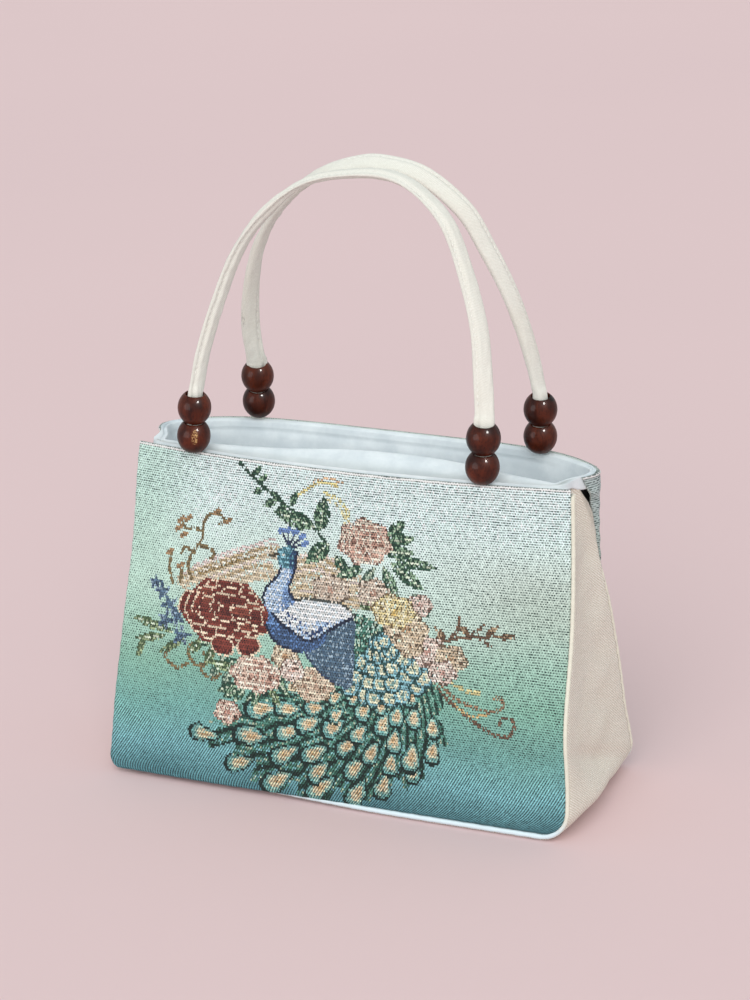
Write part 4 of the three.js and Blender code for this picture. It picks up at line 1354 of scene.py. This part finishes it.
LINING_THICKNESS = 0.9
LINING_SEWN_INSET = 2.3
LINING_INSET = 4.0
LINING_SIDE_INSET = 2.0
LINING_FLOOR = 3.8
LINING_FLOOR_RINGS = (0.94, 0.55, 0.1)
LINING_CORNER_SHARE = 0.95
LINING_FRONT_POINTS = 97
LINING_SIDE_POINTS = 17
BINDING_STAND = 2.9
BINDING_HANG = 4.2
BACK_HANG = 0.9

# How far the lining's lip leans in over the mouth, by the place across the front
LIP_ACROSS = (-1, -0.73, -0.4, 0, 0.3, 0.6, 0.8, 1)
LIP_REACH = (2.5, 8, 18, 26, 26, 18, 10, 2.5)
SIDE_LIP_REACH = 2.5
BACK_LIP_REACH = 1.2
DEEPEST_LIP = 26.0

# The lining from its sewn edge over the lip and down: the share of the lip's reach, the height over
# the rim where the lip is deepest, and the height at the walls
LINING_ROWS = (
    (0, -2.4, -2.4),
    (0, 0.5, 0.4),
    (0.03, 0.9, 0.7),
    (0.1, -2.6, 0.5),
    (0.2, -5.4, 0.3),
    (0.38, -4.4, 0.3),
    (0.7, -0.2, 0.2),
    (0.94, 1.6, -0.2),
    (1, 0.2, -1.6),
    (0.97, -5, -6),
    (0.74, -18, -18),
    (0.36, -36, -36),
    (0.1, -58, -58),
    (0, -84, -84),
    (0, -112, -112),
    (0, -130, -130),
    (0, -148, -148),
    (0, -157.5, -157.5),
)
LIP_EDGE_ROW = 8
LIP_END_ROW = 9

# Mesh rows: how many to each of the lip's table rows, how many down the wall, and where folds end
LIP_STEPS = 5
WALL_STEPS = 50
FOLDS_END = 50


def lining_side(y, z, side, out):
    """Distance from the middle to the lining's side wall, just inside the gusset and the turned cloth."""
    front = front_depth(side, z) + WELT_BEHIND_FACE + GUSSET_EDGE_BEHIND_WELT
    back = back_seam(z)
    t = np.clip((y - front) / (back - front), 0, 1)
    clear = lerp(-LINING_SIDE_INSET, 0.1, ease(z, RIM_HEIGHT - RIM_STRETCH, RIM_HEIGHT))
    hollow = GAP_HOLLOW * bell(z, GAP_HEIGHT, GAP_REACH) * (1 - ease(np.abs(y - back), 2, 7))
    inside = clear - gusset_dip(t, z) - hollow + out * (1 - ease(y, back - 3, back + 3))
    along_wrap = np.clip((section("back", z) - y) / wrap_width(z), 0, 1)
    wrapped = 2 * along_wrap * (1 - along_wrap) * wrap_bulge(z) - PANEL_THICKNESS - LINING_THICKNESS - 0.4
    beyond = turned_share(z) * ease(y, back, back + 5)
    return rounded_half(z) + lerp(inside, np.maximum(inside, wrapped), beyond)


def lining_loop(z, inset, out):
    """One level loop of the lining: front, right side, back, left side, with each point's lip reach
    and how far it belongs to the sides and to the back."""
    half = rounded_half(z) - LINING_SIDE_INSET
    across = np.linspace(-LINING_CORNER_SHARE, LINING_CORNER_SHARE, LINING_FRONT_POINTS)
    front = beside(across * half, front_depth(across, z) + inset)
    back = beside(-across * half, back_depth(across, z) - inset)
    t = np.linspace(0, 1, LINING_SIDE_POINTS + 2)[1:-1]
    hung = ease(t, 0.27, 0.42)
    walls = []
    for side in (1.0, -1.0):
        y = lerp(front_depth(side, z) + inset, back_depth(LINING_CORNER_SHARE, z) - inset, t)
        walls.append(beside(side * lining_side(y, z, side, out), y, SIDE_LIP_REACH, hung, 0.0))
    loop = np.concatenate([
        np.column_stack([front, beside(curve_through(LIP_ACROSS, LIP_REACH, across), 0.0, 0.0)]),
        walls[0],
        np.column_stack([back, beside(BACK_LIP_REACH + 0 * across, 0.0, 1.0)]),
        walls[1][::-1],
    ])
    for _ in range(5):
        loop = 0.5 * loop + 0.25 * (np.roll(loop, 1, axis=0) + np.roll(loop, -1, axis=0))
    return loop[:, :2], *loop[:, 2:].T


def lining_relief(grid, flat_x, flat_y, lean, at):
    """Slack in the pouch, sewn lines along the lip and the back facing, and folds in the lip."""
    row = np.arange(len(grid))[:, None]
    below_rim = RIM_HEIGHT - grid[..., 2]
    from_middle = np.abs(np.arange(grid.shape[1]) - LINING_FRONT_POINTS // 2)
    front_part = ease(LINING_FRONT_POINTS // 2 - from_middle, 4, 20)
    back_part = ease(from_middle, 70, 80)
    loose = ease(below_rim, 4, 34) * ease(len(grid) - row, 4, 12)
    slack = 0.9 * ripples(flat_x, 0.6 * flat_y, 48, seed=14) + 0.5 * ripples(flat_x, flat_y, 17, seed=15)
    hem = (bell(lean, 0.62, 0.05) + 0.7 * bell(lean, 0.5, 0.04)) * (at < LIP_EDGE_ROW)
    hem = np.pad(hem, (0, len(grid) - len(hem)))[:, None]
    facing = bell(below_rim, 5.2, 0.8) * (row > LIP_STEPS * LIP_EDGE_ROW)
    folds = 0.35 * ripples(0.16 * flat_x, flat_y, 9, seed=16) * ease(row, 10, 20) * (row < FOLDS_END)
    return loose * slack + front_part * (folds - 0.8 * hem) - 0.7 * back_part * facing


def make_lining():
    """The white pouch: sewn to the rim, its front lip folded back over the mouth, slack inside."""
    table = np.array(LINING_ROWS, float)
    row_numbers = np.arange(len(table))
    lip_places = np.linspace(0, LIP_END_ROW, LIP_STEPS * LIP_END_ROW + 1)
    wall_places = np.linspace(LIP_END_ROW, len(table) - 1, WALL_STEPS)
    at = np.concatenate([lip_places, wall_places[1:]])
    lean, rise, level = (curve_through(row_numbers, values, at) for values in table.T)
    loops = []
    for place, lean_share, high, low in zip(at, lean, rise, level):
        z = max(min(RIM_HEIGHT + low, RIM_HEIGHT), PANEL_FOOT + 2)
        inset = lerp(LINING_SEWN_INSET, LINING_INSET, ease(place, 1.5, 3.5))
        loop, reach, side, rear = lining_loop(z, inset, BINDING_STAND * (1 - ease(place, 1.0, 2.6)))
        along = unit(np.roll(loop, -1, axis=0) - np.roll(loop, 1, axis=0))
        inward = beside(-along[:, 1], along[:, 0])
        over_lip = 1 - ease(place, LIP_EDGE_ROW, LIP_END_ROW)
        hang = BINDING_HANG * side * (1 - ease(place, 0.2, 1.0)) + BACK_HANG * rear * over_lip
        height = RIM_HEIGHT + lerp(low, high, reach / DEEPEST_LIP) - hang
        loops.append(np.column_stack([loop + inward * (reach * lean_share)[:, None], height]))
    wall_foot = loops[-1]
    loops.extend(wall_foot * (share, share, 0) + (0, 0, LINING_FLOOR) for share in LINING_FLOOR_RINGS)
    grid = np.array(loops)
    normal = grid_normals(grid, closed=True)
    around = run_lengths(grid[LIP_STEPS * LIP_EDGE_ROW])
    down = run_lengths(grid[:, LINING_FRONT_POINTS // 2])
    flat_x, flat_y = np.meshgrid(around, down)
    inner = grid + normal * lining_relief(grid, flat_x, flat_y, lean, at)[..., None]
    points, faces = shell(inner, inner - normal * LINING_THICKNESS, closed=True)
    right_side = beside(flat_x, flat_y).reshape(-1, 2)
    flat = np.concatenate([right_side, right_side + (0, WRONG_SIDE)])
    return make_piece("white_lining", points, faces, LINING, "lining_cloth", ("lining",), flat)


# Straps and beads

# Strap stations from left to right: middle, width, thickness and the turn from lying flat, in
# degrees; a positive turn tips the upper face to the front
FRONT_STRAP = (
    (-76, -24.9, 199.5, 9.2, 4.8, -18),
    (-73.9, -21.4, 214.8, 9.5, 4.8, -16),
    (-67.6, -16.4, 238.6, 9.5, 4.8, -14),
    (-58.4, -11.8, 262.7, 9.5, 4.6, -10),
    (-43.9, -8, 282.6, 9.5, 4.4, -4),
    (-23.2, -5.3, 297.4, 9.5, 4.2, 0),
    (4, -4.4, 302.6, 9.5, 4.2, 0),
    (22.1, -4.6, 301, 9.5, 4.2, 4),
    (37.2, -6.1, 292.3, 9.5, 4.4, 10),
    (48.6, -8.5, 279.6, 9.5, 4.6, 16),
    (58.4, -12.7, 258.2, 9.5, 4.8, 24),
    (65.6, -16.8, 236.3, 9.5, 4.8, 34),
    (69.1, -21.1, 213.9, 9.5, 4.8, 48),
    (70.9, -24, 199.5, 9.2, 4.8, 62),
)
BACK_STRAP = (
    (-70.9, 29, 200, 9.2, 4.8, -62),
    (-70.6, 24.6, 217, 9.5, 4.8, -44),
    (-66.2, 19, 239.9, 9.5, 4.8, -20),
    (-58.3, 14, 261.7, 9.5, 4.6, -4),
    (-44.8, 10, 281.4, 9.5, 4.4, 6),
    (-25.3, 7.4, 297.2, 9.5, 4.2, 24),
    (-6.3, 6.8, 304, 9.5, 4.2, 38),
    (9.1, 6.8, 305.3, 9.5, 4.2, 44),
    (29.5, 7.2, 300.6, 9.5, 4.2, 46),
    (48.6, 9.4, 285.3, 9.5, 4.4, 42),
    (59, 13, 266.4, 9.5, 4.6, 36),
    (67.4, 17.4, 246.9, 9.5, 4.8, 28),
    (73.3, 22.1, 226.9, 9.5, 4.8, 22),
    (77.2, 25.4, 209, 9.5, 4.8, 18),
    (78.9, 26.3, 199.5, 9.2, 4.8, 16),
)

# Bead centres at each strap end, lower then upper
BEAD_STRINGS = {
    "front_left": ((-78.7, -25.1, 172.6), (-77.3, -26.1, 187.1)),
    "front_right": ((69.3, -22.9, 172.6), (70.5, -24.4, 187.1)),
    "back_left": ((-73.2, 36.6, 173.2), (-71.8, 33.1, 187.3)),
    "back_right": ((78.4, 30.1, 172.9), (79.4, 27.5, 187.2)),
}
BEAD_RADIUS = 8.1
BEAD_HALF_HEIGHT = 7.1
BEAD_BORE_RADIUS = 4.4
BEAD_BORE_FLARE = 0.5
BEAD_SEGMENTS = 56
STRUNG_WIDTH = 8.3
STRUNG_THICKNESS = 7.0
STRUNG_PAST_BEAD = 0.8
HEAD_THICKNESS = 5.8
HEAD_WIDTHS = {"front_left": 8.3, "front_right": 9.8, "back_left": 10.4, "back_right": 7.8}
SEWN_END_DROP = 5.0
SEWN_END_WIDTH = 7.4
SEWN_END_THICKNESS = 1.1
SEWN_END_BEHIND_FACE = 2.5
STRAP_STEPS = 420
STRAP_SIDES = 48
STRAP_GIRTH = 22.0
STRAP_SQUARENESS = 2.7
STITCHED_STEPS = slice(95, -95)

# The strap's stitched lip: where its stitches lie across the half width, and how thin it is
STITCH_SHARE = 0.66
STITCH_SINK = 0.16
LIP_THINNING = 0.5

# One stitch: its size, and its thickness along its length
STITCH_LENGTH = 2.3
STITCH_GAP = 0.8
STITCH_RADIUS = 0.32
STITCH_SIDES = 6
STITCH_PLACES = np.array([0.0, 0.12, 0.35, 0.65, 0.88, 1.0])
STITCH_SIZES = np.array([0.35, 0.8, 1.0, 1.0, 0.8, 0.35])


def bead_line(string):
    """The centres of a strap end's two beads and the direction from the lower to the upper."""
    lower, upper = np.array(BEAD_STRINGS[string], float)
    return lower, upper, unit(upper - lower)


def strung_stations(string, twist):
    """Stations of a strap where it runs through its two beads, from the rim upward."""
    lower, upper, line = bead_line(string)
    foot = lower - line * BEAD_HALF_HEIGHT
    head = upper + line * (BEAD_HALF_HEIGHT + STRUNG_PAST_BEAD)
    share = foot[0] / RIM_HALF_WIDTH
    if string.startswith("front"):
        seam = front_depth(share, RIM_HEIGHT) + SEWN_END_BEHIND_FACE
    else:
        seam = back_depth(share, RIM_HEIGHT) - SEWN_END_BEHIND_FACE
    edge_on = math.copysign(90, twist)
    return [
        (foot[0], seam, foot[2] - SEWN_END_DROP, SEWN_END_WIDTH, SEWN_END_THICKNESS, edge_on),
        (foot[0], lerp(foot[1], seam, 0.6), foot[2], SEWN_END_WIDTH, 2 * SEWN_END_THICKNESS, edge_on),
        (*lower, STRUNG_WIDTH, STRUNG_THICKNESS, twist),
        (*upper, STRUNG_WIDTH, STRUNG_THICKNESS, twist),
        (*head, HEAD_WIDTHS[string], HEAD_THICKNESS, twist),
    ]


def strap_path(table, which):
    """Middle, width, thickness and the flat and face directions along a strap."""
    left = strung_stations(f"{which}_left", table[0][-1])
    right = strung_stations(f"{which}_right", table[-1][-1])
    stations = np.array([*left, *table, *right[::-1]], float)
    numbers = np.arange(len(stations))
    at = np.linspace(0, numbers[-1], STRAP_STEPS)
    x, y, z, width, thick, twist = (curve_through(numbers, values, at) for values in stations.T)
    middle = beside(x, y, z)
    along, flat, face = path_directions(middle)
    turn = np.radians(twist)[:, None]
    flat = flat * np.cos(turn) + face * np.sin(turn)
    return middle, width, thick, flat, np.cross(along, flat)


def make_stitches(name, path, outward):
    """Short threads lying along a path of points, each arched over the cloth and sunk at its ends."""
    run = run_lengths(path)
    points = []
    faces = []
    for start in np.arange(STITCH_GAP, run[-1] - STITCH_LENGTH, STITCH_LENGTH + STITCH_GAP):
        at = start + STITCH_LENGTH * STITCH_PLACES
        middle = beside(*(np.interp(at, run, values) for values in path.T))
        away = unit(beside(*(np.interp(at, run, values) for values in outward.T)))
        side = np.cross(unit(np.gradient(middle, axis=0)), away)
        middle = middle + away * (STITCH_RADIUS * (1.6 * STITCH_SIZES - 1.3))[:, None]
        rings = circles(middle, away, side, STITCH_RADIUS * STITCH_SIZES, STITCH_SIDES)
        first = len(points)
        points.extend(rings.reshape(-1, 3))
        faces.extend(grid_faces(len(rings), STITCH_SIDES, first, closed=True).tolist())
        faces.append(range(first + STITCH_SIDES - 1, first - 1, -1))
        faces.append(range(len(points) - STITCH_SIDES, len(points)))
    make_piece(name, points, faces, THREAD, "strap_cloth")


def make_strap(which, table, stitched_edge):
    """A fabric strap: a padded band with a flat stitched lip along one edge, slightly creased."""
    name = f"{which}_strap"
    middle, width, thick, flat, face = strap_path(table, which)
    lengths = run_lengths(middle)
    angle = TURN * np.arange(STRAP_SIDES) / STRAP_SIDES
    across, out = (
        np.sign(swing) * np.abs(swing) ** (2 / STRAP_SQUARENESS) for swing in (np.cos(angle), np.sin(angle))
    )
    wide = width[:, None] / 2 * across
    deep = thick[:, None] / 2 * out
    toward_lip = across * stitched_edge
    sunk = LIP_THINNING * ease(toward_lip, 0.36, 0.6) + STITCH_SINK * bell(toward_lip, STITCH_SHARE, 0.07)
    along = lengths[:, None]
    crease = 0.12 * ripples(along, 3 * wide, 9, seed=21) + 0.16 * ripples(along, wide, 26, seed=22)
    deep = deep * (1 - sunk) + np.sign(deep) * crease * np.abs(out)
    rings = middle[:, None] + flat[:, None] * wide[..., None] + face[:, None] * deep[..., None]
    strap = tube(rings, name, STRAP_CLOTH, "strap_cloth", (f"{which}_handle",), lengths, STRAP_GIRTH)
    section_depth = (1 - STITCH_SHARE**STRAP_SQUARENESS) ** (1 / STRAP_SQUARENESS)
    lip_depth = (1 - LIP_THINNING - STITCH_SINK) * section_depth
    lip = middle + flat * (width / 2 * STITCH_SHARE * stitched_edge)[:, None]
    for label, side in (("upper", 1), ("under", -1)):
        path = lip + face * (side * thick / 2 * lip_depth)[:, None]
        make_stitches(f"{name}_{label}_stitches", path[STITCHED_STEPS], side * face[STITCHED_STEPS])


def make_bead(name, place, line):
    """A turned wood bead with a softened bore edge, stood along its string."""
    rim_radius = BEAD_BORE_RADIUS + BEAD_BORE_FLARE
    rim_angle = math.acos(rim_radius / BEAD_RADIUS)
    angle = np.linspace(-rim_angle, rim_angle, 29)
    flare = np.linspace(0, math.pi / 2, 6)[1:]
    bore = rim_radius - BEAD_BORE_FLARE * np.sin(flare)
    bore_level = BEAD_HALF_HEIGHT - BEAD_BORE_FLARE * (1 - np.cos(flare))
    level = BEAD_HALF_HEIGHT * np.sin(angle) / math.sin(rim_angle)
    radius = np.concatenate([BEAD_RADIUS * np.cos(angle), bore, bore[::-1]])[:, None]
    height = np.concatenate([level, bore_level, -bore_level[::-1]])[:, None]
    turn = TURN * np.arange(BEAD_SEGMENTS) / BEAD_SEGMENTS
    rings = beside(radius * np.cos(turn), radius * np.sin(turn), height)
    faces = grid_faces(len(radius), BEAD_SEGMENTS, closed=True, looped=True)
    stand = np.array(Vector((0, 0, 1)).rotation_difference(Vector(line)).to_matrix())
    points = rings.reshape(-1, 3) @ stand.T + place
    make_piece(f"wood_{name}", points, faces.tolist(), WOOD, "dark_wood", (name,))


def make_beads():
    """Both beads of every strap end."""
    for string in BEAD_STRINGS:
        lower, upper, line = bead_line(string)
        make_bead(f"bead_{string}_lower", lower, line)
        make_bead(f"bead_{string}_upper", upper, line)


# Stage

CAMERA_ANGLES = (23.469, 18.595, -1.011)
CAMERA_TARGET = (4.82, 0, 141.58)
CAMERA_DISTANCE = 1444.1
CAMERA_LENS = 108
CAMERA_SENSOR = 36
FLOOR_REACH = 12.0
LAMP_TARGET = (0, 0, 0.15)


def make_camera():
    """The photograph's view: yaw, pitch, roll and distance fitted to the bag's corners."""
    yaw, pitch, roll = (math.radians(angle) for angle in CAMERA_ANGLES)
    back = Vector((math.sin(yaw) * math.cos(pitch), -math.cos(yaw) * math.cos(pitch), math.sin(pitch)))
    level = Vector((math.cos(yaw), math.sin(yaw), 0))
    upright = back.cross(level)
    right = level * math.cos(roll) + upright * math.sin(roll)
    up = upright * math.cos(roll) - level * math.sin(roll)
    data = bpy.data.cameras.new("camera")
    data.sensor_width = CAMERA_SENSOR
    data.lens = CAMERA_LENS
    camera = placed("camera", data)
    eye = Vector(CAMERA_TARGET) * MM + back * (CAMERA_DISTANCE * MM)
    camera.matrix_world = Matrix.Translation(eye) @ Matrix((right, up, back)).transposed().to_4x4()
    bpy.context.scene.camera = camera


def add_light(name, kind, source, strength, colour, **settings):
    """A light that shines from the direction of its source; settings are those of its own kind."""
    data = bpy.data.lights.new(name, kind)
    for key, value in {"energy": strength, "color": colour, **settings}.items():
        setattr(data, key, value)
    light = placed(name, data)
    light.rotation_mode = "QUATERNION"
    light.rotation_quaternion = Vector(source).to_track_quat("Z", "Y")
    return light


def make_lights():
    """Even light from one part of the room, its shadows softened by a wide spread, and two discs that
    show only as reflections in polished surfaces."""
    spread = math.radians(50)
    sky = add_light("sky", "SUN", (0.2, -0.8, 0.6), 1.8, (1.0, 0.985, 0.97), angle=spread)
    sky.visible_glossy = False
    for name, place, size, power, colour in (
        ("lamp", (1.42, -0.96, 1.55), 0.52, 66, (1.0, 0.98, 0.95)),
        ("window", (-0.75, -1.4, 0.3), 1.3, 12, (0.95, 0.98, 1.0)),
    ):
        source = Vector(place) - Vector(LAMP_TARGET)
        disc = add_light(name, "AREA", source, power, colour, shape="DISK", size=size)
        disc.location = place
        disc.visible_diffuse = False


def make_stage():
    """A plain pale floor in a softly lit room."""
    corners = [(x * FLOOR_REACH, y * FLOOR_REACH, 0) for x, y in ((-1, -1), (1, -1), (1, 1), (-1, 1))]
    mesh = bpy.data.meshes.new("floor")
    mesh.from_pydata(corners, [], [(0, 1, 2, 3)])
    graph = Graph("pale_floor")
    tone = graph.mix(graph.noise(1.2), rgba(222, 197, 198), rgba(228, 202, 202))
    graph.set(Base_Color=tone, Roughness=0.9, Specular_IOR_Level=0.1)
    mesh.materials.append(graph.material)
    floor = placed("floor", mesh)
    floor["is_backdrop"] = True
    world = bpy.data.worlds.new("studio")
    world.use_nodes = True
    background = world.node_tree.nodes["Background"]
    background.inputs["Color"].default_value = (0.94, 1.0, 1.02, 1)
    background.inputs["Strength"].default_value = 0.66
    bpy.context.scene.world = world
    view = bpy.context.scene.view_settings
    view.view_transform = "Standard"
    view.look = "None"


# Build

make_camera()
make_stage()
make_lights()
front_panel = woven_panel("front", front_face, 1, FRONT_CELLS, front_threads)
back_panel = woven_panel("back", back_face, -1, BACK_CELLS, back_threads)
gusset = make_gusset()
front_welt = make_welt("front")
back_welt = make_welt("back")
lining = make_lining()
make_strap("front", FRONT_STRAP, -1)
make_strap("back", BACK_STRAP, 1)
make_beads()

VISUAL_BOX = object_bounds()
({"cad": [list(corner) for corner in CAD_BOX],
           "visual": [list(corner) for corner in VISUAL_BOX]})
